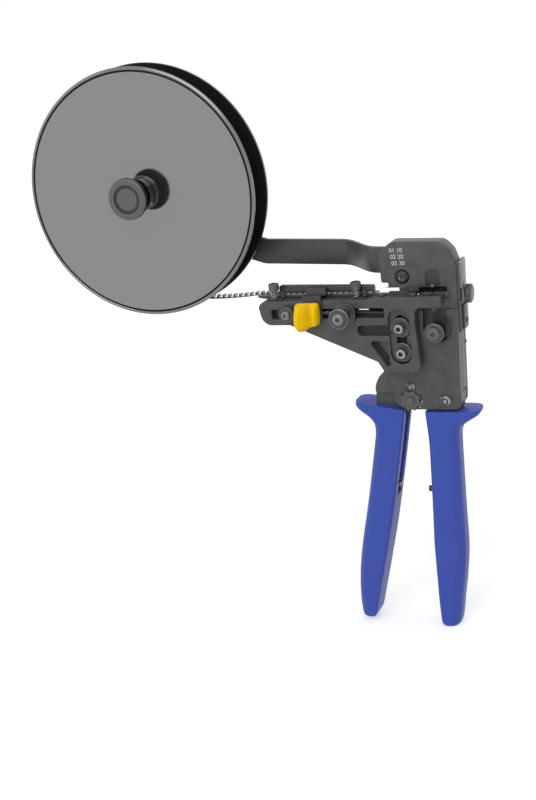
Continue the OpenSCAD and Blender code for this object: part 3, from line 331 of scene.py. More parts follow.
# The pad's hollow between its two lobes is painted shade.
YELLOW_GLOSS = Finish("yellow_gloss", (0.97, 0.61, 0.001), 0.26, texture=Texture.MOULDED,
                      scale=700.0, variation=0.06, depth=0.000006, specular=0.16,
                      hollow=(-0.0739, 0.0030))
REEL_GREY = Finish("reel_grey", (0.245, 0.245, 0.245), 0.09, metallic=0.92,
                   texture=Texture.MOULDED, scale=120.0, variation=0.03, smudge=0.03,
                   depth=0.000002)
REEL_BLACK = Finish("reel_black", (0.014, 0.014, 0.0145), 0.22, texture=Texture.MOULDED,
                    scale=300.0, variation=0.1, smudge=0.05, depth=0.000004, coat=0.4)
# Gloss of the front bead; on the black rear flange's rim, a painted highlight.
RIM_GLOSS_AND_HIGHLIGHT = Finish("rim_gloss_and_highlight", (0.20, 0.20, 0.20), 0.12, metallic=0.9, variation=0.1,
                   smudge=0.03, depth=0.000002)
KNOB_BLACK = Finish("knob_black", (0.008, 0.008, 0.0085), 0.2, smudge=0.1)
KNOB_FACE = Finish("knob_face", (0.105, 0.105, 0.106), 0.36, smudge=0.1)
WHITE_INK = Finish("white_ink", (0.72, 0.72, 0.72), 0.6, variation=0.1)

SLOT_FINISH = {
    "black_steel": BODY_BLACK, "black_bracket": BRACKET_BLACK, "black_arm": ARM_BLACK,
    "die_steel": DIE_STEEL, "dark_screws": DARK_SCREW, "bright_screws": BRIGHT_SCREW,
    "bright_steel": GROUND_STEEL, "spring_steel": SPRING_STEEL, "blue_grip": BLUE_MOULDED,
    "yellow_pad": YELLOW_GLOSS, "reel_grey": REEL_GREY, "reel_black": REEL_BLACK,
    "knob_black": KNOB_BLACK, "tinned_strip": TIN_PLATE,
}
OWN_FINISH = {"stop_stud": BLACK_SCREW, "check_leaf": TRACK_BLACK}


class Bench:
    """Modelling moves that every sub-assembly uses."""

    @staticmethod
    def take(piece: bpy.types.Object) -> None:
        """Select one object alone and make it the active one.

        Args:
            piece: The object to take.
        """
        bpy.ops.object.select_all(action="DESELECT")
        piece.select_set(True)
        bpy.context.view_layer.objects.active = piece

    @staticmethod
    @contextmanager
    def editing(piece: bpy.types.Object, mode: str = "VERT") -> Iterator[None]:
        """Enter edit mode on one object, and leave it again.

        Args:
            piece: The mesh to edit.
            mode: VERT, EDGE or FACE selection.

        Yields:
            Nothing, while the mesh is in edit mode.
        """
        Bench.take(piece)
        bpy.ops.object.mode_set(mode="EDIT")
        bpy.ops.mesh.select_mode(type=mode)
        yield
        bpy.ops.object.mode_set(mode="OBJECT")

    @staticmethod
    def apply_place(piece: bpy.types.Object) -> None:
        """Write a piece's place, turn and scale into its mesh."""
        Bench.take(piece)
        bpy.ops.object.transform_apply(location=True, rotation=True, scale=True)

    @staticmethod
    def start(name: str, add: Callable[..., object], **settings: object) -> bpy.types.Object:
        """Add the primitive that a piece is shaped from.

        Args:
            name: Name of the new piece.
            add: The operator that adds the primitive.
            **settings: Its size, its place and the rest.

        Returns:
            The new object, with its place in its mesh.
        """
        bpy.ops.object.select_all(action="DESELECT")
        add(**settings)
        piece = bpy.context.object
        piece.name = piece.data.name = name
        Bench.apply_place(piece)
        return piece

    @staticmethod
    def merge() -> None:
        """Merge the edited piece's points that lie on one another, and leave all selected."""
        bpy.ops.mesh.select_all(action="SELECT")
        bpy.ops.mesh.remove_doubles(threshold=MERGE)

    @staticmethod
    def face_out() -> None:
        """Turn all faces of the edited piece outward."""
        bpy.ops.mesh.select_all(action="SELECT")
        bpy.ops.mesh.normals_make_consistent(inside=False)

    @staticmethod
    def close_ends() -> None:
        """Fill the open ends of the edited skin and turn its faces outward."""
        bpy.ops.mesh.select_all(action="DESELECT")
        bpy.ops.mesh.select_non_manifold()
        bpy.ops.mesh.fill_holes(sides=0)
        Bench.face_out()

    @staticmethod
    def extrude(x: float = 0.0, y: float = 0.0, z: float = 0.0) -> None:
        """Extrude the edited piece's selection by so many millimetres."""
        bpy.ops.mesh.extrude_region_move(
            TRANSFORM_OT_translate={"value": (x * MM, y * MM, z * MM)})

    @staticmethod
    def pick(piece: bpy.types.Object, kind: str, test: Callable[..., bool]) -> None:
        """Select in edit mode only the faces or the edges that pass a test.

        Args:
            piece: The edited mesh.
            kind: Either polygons or edges.
            test: Says of a face or an edge whether it is wanted.
        """
        bpy.ops.mesh.select_all(action="DESELECT")
        bpy.ops.object.mode_set(mode="OBJECT")
        for item in getattr(piece.data, kind):
            item.select = test(item)
        bpy.ops.object.mode_set(mode="EDIT")

    @staticmethod
    def chain(name: str, points: Sequence[Vector]) -> bpy.types.Object:
        """Draw a line of edges by extruding one vertex from point to point.

        Args:
            name: Name of the new piece.
            points: The line's points in metres.

        Returns:
            The new object, still only edges.
        """
        piece = Bench.start(name, bpy.ops.mesh.primitive_plane_add, size=MM)
        with Bench.editing(piece):
            bpy.ops.mesh.select_all(action="SELECT")
            bpy.ops.mesh.merge(type="CENTER")
            bpy.ops.transform.translate(value=points[0])
            for a, b in zip(points, points[1:]):
                bpy.ops.mesh.extrude_region_move(TRANSFORM_OT_translate={"value": b - a})
        return piece

    @staticmethod
    def slab(name: str, spots: Sequence[Pair], front: float, depth: float) -> bpy.types.Object:
        """Extrude a flat outline from front to back.

        Args:
            name: Name of the new piece.
            spots: X and Z of each corner in millimetres.
            front: Y of its front in millimetres.
            depth: Its thickness in millimetres.

        Returns:
            The closed slab.
        """
        piece = Bench.chain(name, [place(x, front, z) for x, z in (*spots, spots[0])])
        with Bench.editing(piece):
            Bench.merge()
            bpy.ops.mesh.edge_face_add()
            Bench.extrude(y=depth)
            Bench.face_out()
        return piece

    @staticmethod
    def settle(piece: bpy.types.Object, centre: Vector, facing: Facing | Vector) -> None:
        """Turn a piece made about its own Z axis to its facing, and put it in place.

        Args:
            piece: The object to settle.
            centre: Where its origin goes.
            facing: Where its own Z axis points.
        """
        out = Vector(facing.value) if isinstance(facing, Facing) else facing
        turn = out.to_track_quat("Z", "Y").to_matrix().to_4x4()
        piece.matrix_world = Matrix.Translation(centre) @ turn
        Bench.apply_place(piece)

    @staticmethod
    def lathe(name: str, profile: Sequence[Pair], centre: Vector,
              facing: Facing | Vector = Facing.FRONT, steps: int = 96,
              ring: bool = False) -> bpy.types.Object:
        """Turn a solid from a profile.

        Args:
            name: Name of the new piece.
            profile: Radius and height of each point in millimetres.
            centre: Where height 0 on the axis goes.
            facing: Where the axis points.
            steps: Number of facets round the axis.
            ring: True where the profile closes on itself instead of on the axis.

        Returns:
            The finished solid.
        """
        points = [Vector((r, 0.0, h)) * MM for r, h in profile]
        if ring:
            points.append(points[0])
        piece = Bench.chain(name, points)
        with Bench.editing(piece):
            bpy.ops.mesh.select_all(action="SELECT")
            bpy.ops.mesh.spin(steps=steps, angle=math.tau, center=(0, 0, 0), axis=(0, 0, 1))
            Bench.merge()
            Bench.face_out()
        Bench.settle(piece, centre, facing)
        return piece

    @staticmethod
    def modify(piece: bpy.types.Object, kind: str, **settings: object) -> None:
        """Add one modifier and apply it.

        Args:
            piece: The mesh to change.
            kind: The modifier's type.
            **settings: Its properties.
        """
        Bench.take(piece)
        bpy.ops.object.modifier_add(type=kind)
        modifier = piece.modifiers[-1]
        for key, value in settings.items():
            setattr(modifier, key, value)
        bpy.ops.object.modifier_apply(modifier=modifier.name)

    @staticmethod
    def smooth(piece: bpy.types.Object, degrees: float = 32.0) -> None:
        """Shade a piece smooth up to an angle between faces."""
        Bench.take(piece)
        bpy.ops.object.shade_smooth_by_angle(angle=math.radians(degrees))

    @staticmethod
    def paint(piece: bpy.types.Object, finishes: Sequence[Finish],
              choose: Callable[[bpy.types.MeshPolygon], int | None]) -> None:
        """Add finishes to a piece and choose one of them for each face.

        Args:
            piece: The piece to paint.
            finishes: The finishes to add.
            choose: Gives a face's finish by its number, or None to leave the face.
        """
        first = len(piece.data.materials)
        for finish in finishes:
            piece.data.materials.append(finish.material())
        for face in piece.data.polygons:
            number = choose(face)
            if number is not None:
                face.material_index = first + number

    @staticmethod
    def copy_of(node: str, name: str) -> bpy.types.Object:
        """Copy a solid of the frame and merge its loose triangles into faces.

        Args:
            node: The solid to copy.
            name: Name of the copy.

        Returns:
            The merged copy.
        """
        piece = bpy.data.objects.new(name, NODES[node].data.copy())
        bpy.context.scene.collection.objects.link(piece)
        piece.data.name = name
        piece.data.materials.clear()
        with Bench.editing(piece):
            bpy.ops.mesh.customdata_custom_splitnormals_clear()
            bpy.ops.mesh.select_all(action="SELECT")
            bpy.ops.mesh.remove_doubles(threshold=2 * MERGE)
            bpy.ops.mesh.dissolve_limited(angle_limit=math.radians(0.8))
        return piece

    @staticmethod
    def finish(piece: bpy.types.Object, finish: Finish, node: str) -> None:
        """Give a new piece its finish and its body.

        Args:
            piece: The new piece.
            finish: Its finish, unless it is painted already.
            node: The solid that it belongs to.
        """
        if not piece.data.materials:
            piece.data.materials.append(finish.material())
        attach(piece, BODY_OF[node])
        log.info("piece %s rides on %s", piece.name, BODY_OF[node])

    @staticmethod
    def stand_in(piece: bpy.types.Object, finish: Finish, node: str,
                 degrees: float = 32.0) -> None:
        """Shade a new piece smooth, finish it and let it stand for its solid.

        Args:
            piece: The new piece.
            finish: Its finish, unless it is painted already.
            node: The solid that it stands for.
            degrees: Angle between faces up to which it is shaded smooth.
        """
        Bench.smooth(piece, degrees)
        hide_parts(node)
        Bench.finish(piece, finish, node)


@dataclass
class Eased:
    """A solid of the frame whose edges are eased and lightly worn.

    Widths and levels are in millimetres. Faces in front of the level boss
    are rubbed, and faces that look forward from behind the level deep take
    a painted shade, near black. The lit finish, a painted highlight, goes on
    the chamfer at the front right.
    """

    node: str
    finish: Finish
    width: float = 0.25
    edge: Finish | None = SOFT_EDGE
    lit: Finish | None = None
    deep: float | None = None
    boss: float | None = None
    rubbed: Finish = WORN_SCREW

    def build(self) -> None:
        """Make the eased copy and let it stand for its solid."""
        piece = Bench.copy_of(self.node, f"{self.node}_eased")
        self.reshape(piece)
        piece.data.materials.append(self.finish.material())
        if self.edge:
            piece.data.materials.append(self.edge.material())
        Bench.modify(piece, "BEVEL", width=self.width * MM, segments=2, limit_method="ANGLE",
                     angle_limit=math.radians(32.0), miter_outer="MITER_ARC",
                     use_clamp_overlap=True, material=1 if self.edge else -1,
                     harden_normals=False)
        self.tell_apart(piece)
        Bench.stand_in(piece, self.finish, self.node)

    def reshape(self, piece: bpy.types.Object) -> None:
        """Leave the copy's form as it is; a node with more to it changes it here."""

    def tell_apart(self, piece: bpy.types.Object) -> None:
        """Paint a highlight on the front right chamfer, rub bosses, and paint shade on what lies
        deep.

        Args:
            piece: The eased copy.
        """
        slant = 0.3

        def choose(face: bpy.types.MeshPolygon) -> int | None:
            """Tell deep faces (painted shade), the lit chamfer (painted highlight) and rubbed
            bosses apart.

            Args:
                face: One face of the copy.

            Returns:
                Number of its finish, or None to leave it.
            """
            normal, depth = face.normal, face.center.y / MM
            if self.deep is not None and depth > self.deep and normal.y < FORWARD:
                return 2
            if self.lit and normal.x > slant and normal.y < -slant and abs(normal.z) < slant:
                return 1
            return 0 if self.boss is not None and depth < self.boss else None

        Bench.paint(piece, (self.rubbed, self.lit or self.finish, PAINTED_SHADE_BLACK), choose)


@dataclass
class HeadBlock(Eased):
    """Head block with a broad chamfer along its top and right front edges."""

    chamfer: float = 1.3
    arch_floor: float = -6.8
    top: float = 26.0  # edges above it lie along the top
    side: float = 4.0  # edges to its right, above the side's foot, lie along the side
    side_foot: float = 17.0

    def reshape(self, piece: bpy.types.Object) -> None:
        """Cut the broad chamfer.

        Args:
            piece: The merged copy.
        """
        front = FACE_Y * MM

        def on_chamfer(edge: bpy.types.MeshEdge) -> bool:
            """Tell whether an edge bounds the front face at the top or the right.

            Args:
                edge: One edge of the copy.

            Returns:
                True where the chamfer runs along it.
            """
            a, b = (piece.data.vertices[i].co for i in edge.vertices)
            middle = (a + b) / 2 / MM - SHIFT
            flat = abs(a.y - front) < LEVEL and abs(b.y - front) < LEVEL
            beside = middle.x > self.side and middle.z > self.side_foot
            return flat and (middle.z > self.top or beside)

        with Bench.editing(piece, "EDGE"):
            Bench.pick(piece, "edges", on_chamfer)
            bpy.ops.mesh.bevel(offset=self.chamfer * MM, segments=1, affect="EDGES")

    def tell_apart(self, piece: bpy.types.Object) -> None:
        """Paint shade on the floor of the arched recess, in the track's near black.

        Args:
            piece: The eased copy.
        """
        super().tell_apart(piece)
        floor = self.arch_floor * MM
        Bench.paint(piece, (TRACK_BLACK,), lambda face: 0 if face.normal.y < FORWARD
                    and abs(face.center.y - floor) < 5 * LEVEL else None)


@dataclass
class Keeper(Eased):
    """Die keeper whose lower lobe reaches down to the strip track."""

    wider: float = 2.4
    longer: float = 0.6
    lobe_side: float = -19.5
    lobe_top: float = 3.0
    lobe_tip: float = 1.3
    shoulder: float = 4.0

    def reshape(self, piece: bpy.types.Object) -> None:
        """Widen and lengthen the lobe.

        Args:
            piece: The merged copy.
        """
        for vertex in piece.data.vertices:
            x, y, z = vertex.co / MM - SHIFT
            left, low = x - self.wider, z - self.longer
            beside = self.lobe_side - 1.5 < x < self.lobe_side - 0.5
            if z < self.lobe_top:
                vertex.co = place(left if x < self.lobe_side else x, y,
                                  low if z < self.lobe_tip else z)
            elif beside and z < self.shoulder:
                vertex.co = place(left, y, z)


@dataclass
class TorxScrew:
    """Round-headed screw with a six-lobed socket, in millimetres."""

    name: str
    node: str
    x: float
    z: float
    seat: float
    radius: float
    height: float
    finish: Finish = DARK_SCREW
    socket_share: float = 0.5
    socket_depth: float = 0.62
    lobes: int = 6
    lobe_rise: float = 0.14

    def build(self) -> bpy.types.Object:
        """Turn the head, then sink its socket.

        Returns:
            The finished head.
        """
        r, h, socket = self.radius, self.height, self.radius * self.socket_share
        profile = ((0.0, -0.05), (r - 0.05, -0.05), (r, 0.1), (r * 0.97, h * 0.45),
                   (r * 0.86, h * 0.78), (r * 0.66, h), (socket, h), (0.0, h))
        piece = Bench.lathe(self.name, profile, place(self.x, self.seat, self.z), steps=48)
        self.sink(piece, socket)
        axis = place(self.x, 0.0, self.z)
        Bench.paint(piece, (self.finish, GLINT), lambda face: int(
            off_axis(face.center, axis) < socket * 0.97 and abs(face.normal.y) < 0.6))
        Bench.smooth(piece, 28.0)
        Bench.finish(piece, self.finish, self.node)
        return piece

    def sink(self, piece: bpy.types.Object, socket: float) -> None:
        """Press the socket's six lobes into the head.

        Args:
            piece: The turned head.
            socket: The socket's outer radius in millimetres.
        """
        axis = place(self.x, 0.0, self.z)
        top = (self.seat - self.height) * MM
        with Bench.editing(piece, "FACE"):
            Bench.pick(piece, "polygons", lambda face: abs(face.center.y - top) < LEVEL
                       and off_axis(face.center, axis) < socket * 0.99)
            bpy.ops.mesh.inset(thickness=0.04 * MM, use_even_offset=True)
            Bench.extrude(y=self.height * self.socket_depth)
        for vertex in piece.data.vertices:
            flat = vertex.co - axis
            if 0.2 * socket < off_axis(vertex.co, axis) < socket - 0.02:
                turn = self.lobes * math.atan2(flat.z, flat.x)
                scale = 1.0 - self.lobe_rise + self.lobe_rise * math.cos(turn)
                vertex.co.x = axis.x + flat.x * scale
                vertex.co.z = axis.z + flat.z * scale


@dataclass
class CapScrew:
    """Round cap screw with a knurled side, a hexagonal socket and a shank, in millimetres."""

    name: str
    node: str
    centre: Spot
    facing: Facing
    radius: float
    height: float
    flats: float
    shank: float
    reach: float
    ridges: int
    finish: Finish

    crown: float = 0.5
    crown_rise: float = 0.35
    foot: float = 0.25
    knurl: float = 0.22
    socket_depth: float = 0.6

    def build(self) -> None:
        """Shape the screw about its own axis, then put it in place of its solid."""
        piece = Bench.start(
            self.name, bpy.ops.mesh.primitive_cylinder_add, vertices=2 * self.ridges,
            radius=self.radius * MM, depth=self.height * MM,
            location=(0, 0, self.height * MM / 2))
        with Bench.editing(piece, "FACE"):
            self.cap(piece, self.height)
            bpy.ops.mesh.inset(thickness=self.crown * MM)
            bpy.ops.transform.translate(value=(0, 0, self.crown_rise * MM))
            bpy.ops.mesh.inset(thickness=(self.radius - self.crown - self.flats * 0.66) * MM)
            self.hexagon(piece)
            Bench.extrude(z=-self.height * self.socket_depth)
            bpy.ops.object.mode_set(mode="OBJECT")
            # The socket's selected face is painted near black, as shade in the socket.
            Bench.paint(piece, (self.finish, PAINTED_SHADE_BLACK), lambda face: int(face.select))
            bpy.ops.object.mode_set(mode="EDIT")
            self.cap(piece, 0.0)
            bpy.ops.mesh.inset(thickness=self.foot * MM)
            bpy.ops.mesh.inset(thickness=(self.radius - self.foot - self.shank) * MM)
            Bench.extrude(z=-self.reach)
        for vertex in piece.data.vertices:
            turn = math.atan2(vertex.co.y, vertex.co.x) / math.tau
            outer = vertex.co.xy.length > (self.radius - 0.05) * MM
            if outer and round(turn * 2 * self.ridges) % 2:
                vertex.co.x *= 1.0 - self.knurl / self.radius
                vertex.co.y *= 1.0 - self.knurl / self.radius
        Bench.settle(piece, place(*self.centre), self.facing)
        Bench.stand_in(piece, self.finish, self.node, 20.0)

    @staticmethod
    def cap(piece: bpy.types.Object, level: float) -> None:
        """Select the flat end face at a level.

        Args:
            piece: The edited screw, about its own axis.
            level: The end's height in millimetres.
        """
        Bench.pick(piece, "polygons", lambda face: abs(face.center.z - level * MM) < LEVEL
                   and abs(face.normal.z) > 0.9)

    def hexagon(self, piece: bpy.types.Object) -> None:
        """Draw the selected face's outline in to the socket's hexagon.

        Args:
            piece: The edited screw, about its own axis.
        """
        bpy.ops.object.mode_set(mode="OBJECT")
        for vertex in piece.data.vertices:
            if vertex.select:
                turn = math.atan2(vertex.co.y, vertex.co.x) % (math.pi / 3) - math.pi / 6
                scale = self.flats / 2 * MM / math.cos(turn) / vertex.co.xy.length
                vertex.co.x *= scale
                vertex.co.y *= scale
        bpy.ops.object.mode_set(mode="EDIT")


@dataclass
class Coil:
    """Spring of round wire, in millimetres."""

    name: str
    node: str
    start: Spot
    facing: Facing
    length: float
    radius: float
    wire: float
    halves: int  # half turns
    facets: int = 10
    steps: int = 14

    def build(self) -> None:
        """Sweep a wire ring up a helix and close its ends."""
        piece = Bench.start(
            self.name, bpy.ops.mesh.primitive_circle_add, vertices=self.facets,
            radius=self.wire * MM, fill_type="NOTHING", rotation=(math.pi / 2, 0, 0),
            location=(self.radius * MM, 0, 0))
        rise = (self.length - 2 * self.wire) / self.halves
        Bench.modify(piece, "SCREW", angle=math.pi, screw_offset=rise * MM,
                     iterations=self.halves, steps=self.steps, render_steps=self.steps,
                     use_merge_vertices=True, merge_threshold=MERGE)
        with Bench.editing(piece, "EDGE"):
            Bench.close_ends()
        lift = Vector(self.facing.value) * self.wire * MM
        Bench.settle(piece, place(*self.start) + lift, self.facing)
        Bench.stand_in(piece, SPRING_STEEL, self.node, 50.0)


@dataclass
class Head:
    """Head block with its die keeper, screws and number rows, in millimetres."""

    recess: float = -6.8
    lip_outline: tuple[Pair, ...] = ((-21.2, 3.8), (6.2, 3.8), (6.2, -4.4), (5.2, -5.4),
                                     (-20.0, -5.4), (-21.2, -4.4))
    lip_front: float = 7.58
    lip_depth: float = 0.38
    stud_spot: Spot = (-2.4, -5.0, 3.2)
    rows_left: float = -27.3
    rows_top: float = 24.9
    rows_pitch: float = 4.0
    rows_lean: float = 0.45
    digit_size: float = 3.7
    ink: float = 0.01

    def build(self) -> None:
        """Model and dress the head."""
        HeadBlock("head_block", HEAD_BLACK, 0.35).build()
        # The keeper's eased edges are painted near black, as shade along its border.
        Keeper("die_keeper", HEAD_BLACK, 0.2, edge=PAINTED_SHADE_BLACK).build()
        Eased("upper_die", DIE_STEEL, 0.12, edge=None).build()
        self.lip()
        self.stud()
        screw = TorxScrew("keeper_screw_head", "keeper_screw", x=-20.5, z=9.5, seat=self.recess,
                          radius=4.2, height=2.3, finish=BLACK_SCREW).build()
        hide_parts("keeper_screw")
        self.rows()

    def lip(self) -> None:
        """Hang the head's thin rear lip behind the dies."""
        piece = Bench.slab("head_rear_lip", self.lip_outline, self.lip_front, self.lip_depth)
        Bench.modify(piece, "BEVEL", width=0.08 * MM, segments=2, limit_method="ANGLE")
        Bench.smooth(piece)
        Bench.finish(piece, TAB_STEEL, "head_block")

    def stud(self) -> None:
        """Set the small round stud into the front of the upper die."""
        profile = ((0.0, -1.0), (1.1, -1.0), (1.1, 1.9), (0.9, 2.2), (0.5, 2.35), (0.0, 2.4))
        piece = Bench.lathe("upper_die_stud", profile, place(*self.stud_spot), steps=32)
        Bench.smooth(piece, 30.0)
        Bench.finish(piece, TAB_STEEL, "upper_die")

    def rows(self) -> None:
        """Print three plain numbers where the head carries its rows of marks."""
        for row, text in enumerate(("01 10", "02 20", "03 30")):
            corner = place(self.rows_left + row * self.rows_lean, FACE_Y - 3 * self.ink,
                           self.rows_top - row * self.rows_pitch)
            bpy.ops.object.select_all(action="DESELECT")
            bpy.ops.object.text_add(location=corner, rotation=(math.pi / 2, 0, 0))
            piece = bpy.context.object
            piece.data.body = text
            piece.data.size = self.digit_size * MM
            piece.data.extrude = self.ink * MM
            piece.name = f"number_row_{row + 1}"
            bpy.ops.object.convert(target="MESH")
            Bench.apply_place(piece)
            Bench.finish(piece, WHITE_INK, "head_block")


@dataclass
class Body:
    """Side plates, their fasteners and the adjusting wheel, in millimetres."""

    marks: tuple[Pair, ...] = ((-16.9, -73.9), (-16.0, -72.1), (-15.2, -70.3))
    mark_radius: float = 0.42
    mark_rise: float = 0.05

    def build(self) -> None:
        """Model and dress the body."""
        # The front right chamfer carries a painted highlight line.
        Eased("front_plate", BODY_BLACK, 0.5, lit=PAINTED_HIGHLIGHT_EDGE).build()
        for node, finish, width in (
            ("rear_plate", BODY_BLACK, 0.4), ("guide_block", BODY_BLACK, 0.2),
            ("adjust_wheel", WHEEL_GREY, 0.2), ("main_pivot", KNOB_FACE, 0.15),
            ("frame_rivets", BODY_BLACK, 0.1),
        ):
            Eased(node, finish, width).build()
        TorxScrew("lock_screw_head", "lock_screw", x=-21.7, z=-60.4, seat=FACE_Y,
                  radius=2.9, height=2.0, finish=BLACK_SCREW).build()
        TorxScrew("tang_screw_head", "tang_screws", x=-0.1, z=-69.6, seat=FACE_Y,
                  radius=3.5, height=2.2).build()
        r, h = self.mark_radius, self.mark_rise
        disc = ((0.0, 0.0), (r, 0.0), (r, h), (0.0, h))
        for number, (x, z) in enumerate(self.marks, 1):
            mark = Bench.lathe(f"index_mark_{number}", disc, place(x, FACE_Y, z), steps=16)
            Bench.finish(mark, WHITE_INK, "front_plate")


@dataclass
class Grip:
    """One moulded grip, drawn as a smooth skin through its measured rings.

    Each ring gives its level, inner side, outer side and half thickness in
    millimetres, from low to high.
    """

    node: str
    rings: Rings
    mirrored: bool = False  # sides counted to the left, and the lever's channel cut in
    between: int = 5  # most steps from one measured ring to the next
    spacing: float = 2.5
    soft: float = 7.0  # radius of the outer corners
    crisp: float = 1.7  # radius of the inner corners
    turns: int = 9  # steps round a corner
    eased: float = 0.7
    top: Spot = (-45.8, 0.0, -73.0)
    slope: float = 9.0  # degrees by which the top falls to the right
    channel_front: float = -4.2
    channel: tuple[Pair, ...] = (
        (-46.8, -60), (-46.8, -76), (-46.7, -88), (-48.4, -99), (-52.5, -122), (-58.5, -150),
        (-66.0, -188), (-65.2, -191), (-61.5, -191.8), (-60.0, -190.5), (-50.8, -152),
        (-45.3, -137), (-44.0, -136), (-10, -134.5), (-10, -60))

    def build(self) -> None:
        """Extrude the rings one from another, close both ends and dress the grip."""
        levels = self.levels()
        piece = Bench.start(f"{self.node}_moulded", bpy.ops.mesh.primitive_circle_add,
                            vertices=len(self.outline(levels[0])), radius=0.01,
                            fill_type="NOTHING")
        with Bench.editing(piece, "EDGE"):
            bpy.ops.mesh.select_all(action="SELECT")
            for _ in levels[1:]:
                Bench.extrude(z=1.0)
        self.spread(piece, levels)
        with Bench.editing(piece, "EDGE"):
            Bench.close_ends()
        if self.mirrored:
            self.trim(piece)
        Bench.modify(piece, "BEVEL", width=self.eased * MM, segments=3, limit_method="ANGLE",
                     angle_limit=math.radians(50), use_clamp_overlap=True)
        Bench.stand_in(piece, BLUE_MOULDED, self.node, 40.0)

    def levels(self) -> list[tuple[float, ...]]:
        """Add smooth rings between the measured ones, with no swing past them.

        Returns:
            Every ring, from low to high.
        """
        rows = list(self.rings)
        slopes = [[0.0] * 4 for _ in rows]
        for i in range(1, len(rows) - 1):
            for k in range(1, 4):
                before = (rows[i][k] - rows[i - 1][k]) / (rows[i][0] - rows[i - 1][0])
                after = (rows[i + 1][k] - rows[i][k]) / (rows[i + 1][0] - rows[i][0])
                if before * after > 0:
                    slopes[i][k] = 2 * before * after / (before + after)
        made = []
        for i, (low, high) in enumerate(zip(rows, rows[1:])):
            span = high[0] - low[0]
            steps = max(2, min(self.between, round(span / self.spacing)))
            for step in range(steps):
                t = step / steps
                ring = [low[0] + span * t]
                for k in range(1, 4):
                    ring.append((2 * t ** 3 - 3 * t ** 2 + 1) * low[k]
                                + (t ** 3 - 2 * t ** 2 + t) * span * slopes[i][k]
                                + (3 * t ** 2 - 2 * t ** 3) * high[k]
                                + (t ** 3 - t ** 2) * span * slopes[i + 1][k])
                made.append(tuple(ring))
        made.append(tuple(rows[-1]))
        return made

    def outline(self, ring: Sequence[float]) -> list[Pair]:
        """Go once round a ring from the middle of its outer side.

        Args:
            ring: Level, inner side, outer side and half thickness.

        Returns:
            The ring's points in millimetres, at rising angles.
        """
        _, inner, outer, half = ring
        crisp = min(self.crisp, half - 1)
        soft = min(self.soft, half - 1, (outer - inner) * 0.6)
        corners = (
            (outer - soft, half - soft, soft, 0), (inner + crisp, half - crisp, crisp, 90),
            (inner + crisp, crisp - half, crisp, 180), (outer - soft, soft - half, soft, 270))
        points = [(outer, 0.0)]
        for x, y, r, start in corners:
            for step in range(self.turns + 1):
                turn = math.radians(start + 90 * step / self.turns)
                points.append((x + r * math.cos(turn), y + r * math.sin(turn)))
            if start == 90:
                points.append((inner, 0.0))
        return points

    def spread(self, piece: bpy.types.Object, levels: Sequence[Sequence[float]]) -> None:
        """Move each extruded ring to its level and its outline.

        Args:
            piece: The skin, with its rings a millimetre apart.
            levels: The rings wanted, from low to high.
        """
        rows: dict[int, list[bpy.types.MeshVertex]] = {}
        for vertex in piece.data.vertices:
            rows.setdefault(round(vertex.co.z / MM), []).append(vertex)
        for index, ring in enumerate(levels):
            around = sorted(rows[index], key=lambda v: math.atan2(v.co.y, v.co.x) % math.tau)
            for vertex, (x, y) in zip(around, self.outline(ring)):
                vertex.co = place(-x if self.mirrored else x, y, ring[0])

    def trim(self, piece: bpy.types.Object) -> None:
        """Cut the sloping top and the channel for the lever plates.

        Args:
            piece: The closed skin.
        """
        slope = math.radians(self.slope)
        with Bench.editing(piece, "FACE"):
            bpy.ops.mesh.select_all(action="SELECT")
            bpy.ops.mesh.bisect(plane_co=place(*self.top),
                                plane_no=(math.sin(slope), 0.0, math.cos(slope)),
                                use_fill=True, clear_outer=True)
        cutter = Bench.slab("channel_cutter", self.channel, self.channel_front,
                            -2 * self.channel_front)
        Bench.modify(piece, "BOOLEAN", operation="DIFFERENCE", object=cutter, solver="EXACT")
        bpy.data.objects.remove(cutter, do_unlink=True)


@dataclass
class Grips:
    """The two moulded grips by their rings, in millimetres."""

    fixed: Rings = (
        (-225.5, -13.9, -5.6, 8.3), (-224.5, -15, -4.4, 9), (-222.4, -15.6, -3.7, 9.4),
        (-218, -15.8, -2.9, 9.6), (-206, -16, -1, 9.8), (-193, -15.9, 1.3, 9.9),
        (-168, -15.7, 4, 10), (-149, -14.8, 4.2, 10), (-114, -13.4, 5, 10),
        (-97, -12.9, 5.5, 10), (-92, -13, 6.1, 10), (-88, -13.2, 7.9, 10),
        (-84.5, -13.4, 12, 10), (-81.5, -13.6, 16.9, 10), (-79, -13.7, 19.8, 10),
        (-76.8, -13.8, 20.3, 9.6))
    moving: Rings = (
        (-223, 62.3, 70, 7.9), (-222.1, 61.3, 71, 8.8), (-220, 60.4, 71.6, 9.2),
        (-214, 58.8, 71.9, 9.5), (-203, 55.9, 71.4, 9.8), (-190, 52.4, 70, 10),
        (-178, 49.3, 68, 10), (-165, 45.9, 65.2, 10), (-142, 40.5, 59.6, 10),
        (-114, 34.5, 53.5, 10), (-98, 31.2, 50.2, 10), (-92, 30, 49.1, 10),
        (-88, 29.2, 49.1, 10), (-84, 28.4, 50.6, 10), (-80, 27.7, 54.4, 10),
        (-76.6, 27, 58.8, 10), (-73.4, 26.4, 60.8, 10), (-69.5, 25.6, 60, 9.6))

    def build(self) -> None:
        """Model and dress the grips."""
        Grip("fixed_grip", self.fixed).build()
        Grip("moving_grip", self.moving, mirrored=True).build()
        Eased("handle_stop", WORN_SCREW, 0.2, edge=None).build()


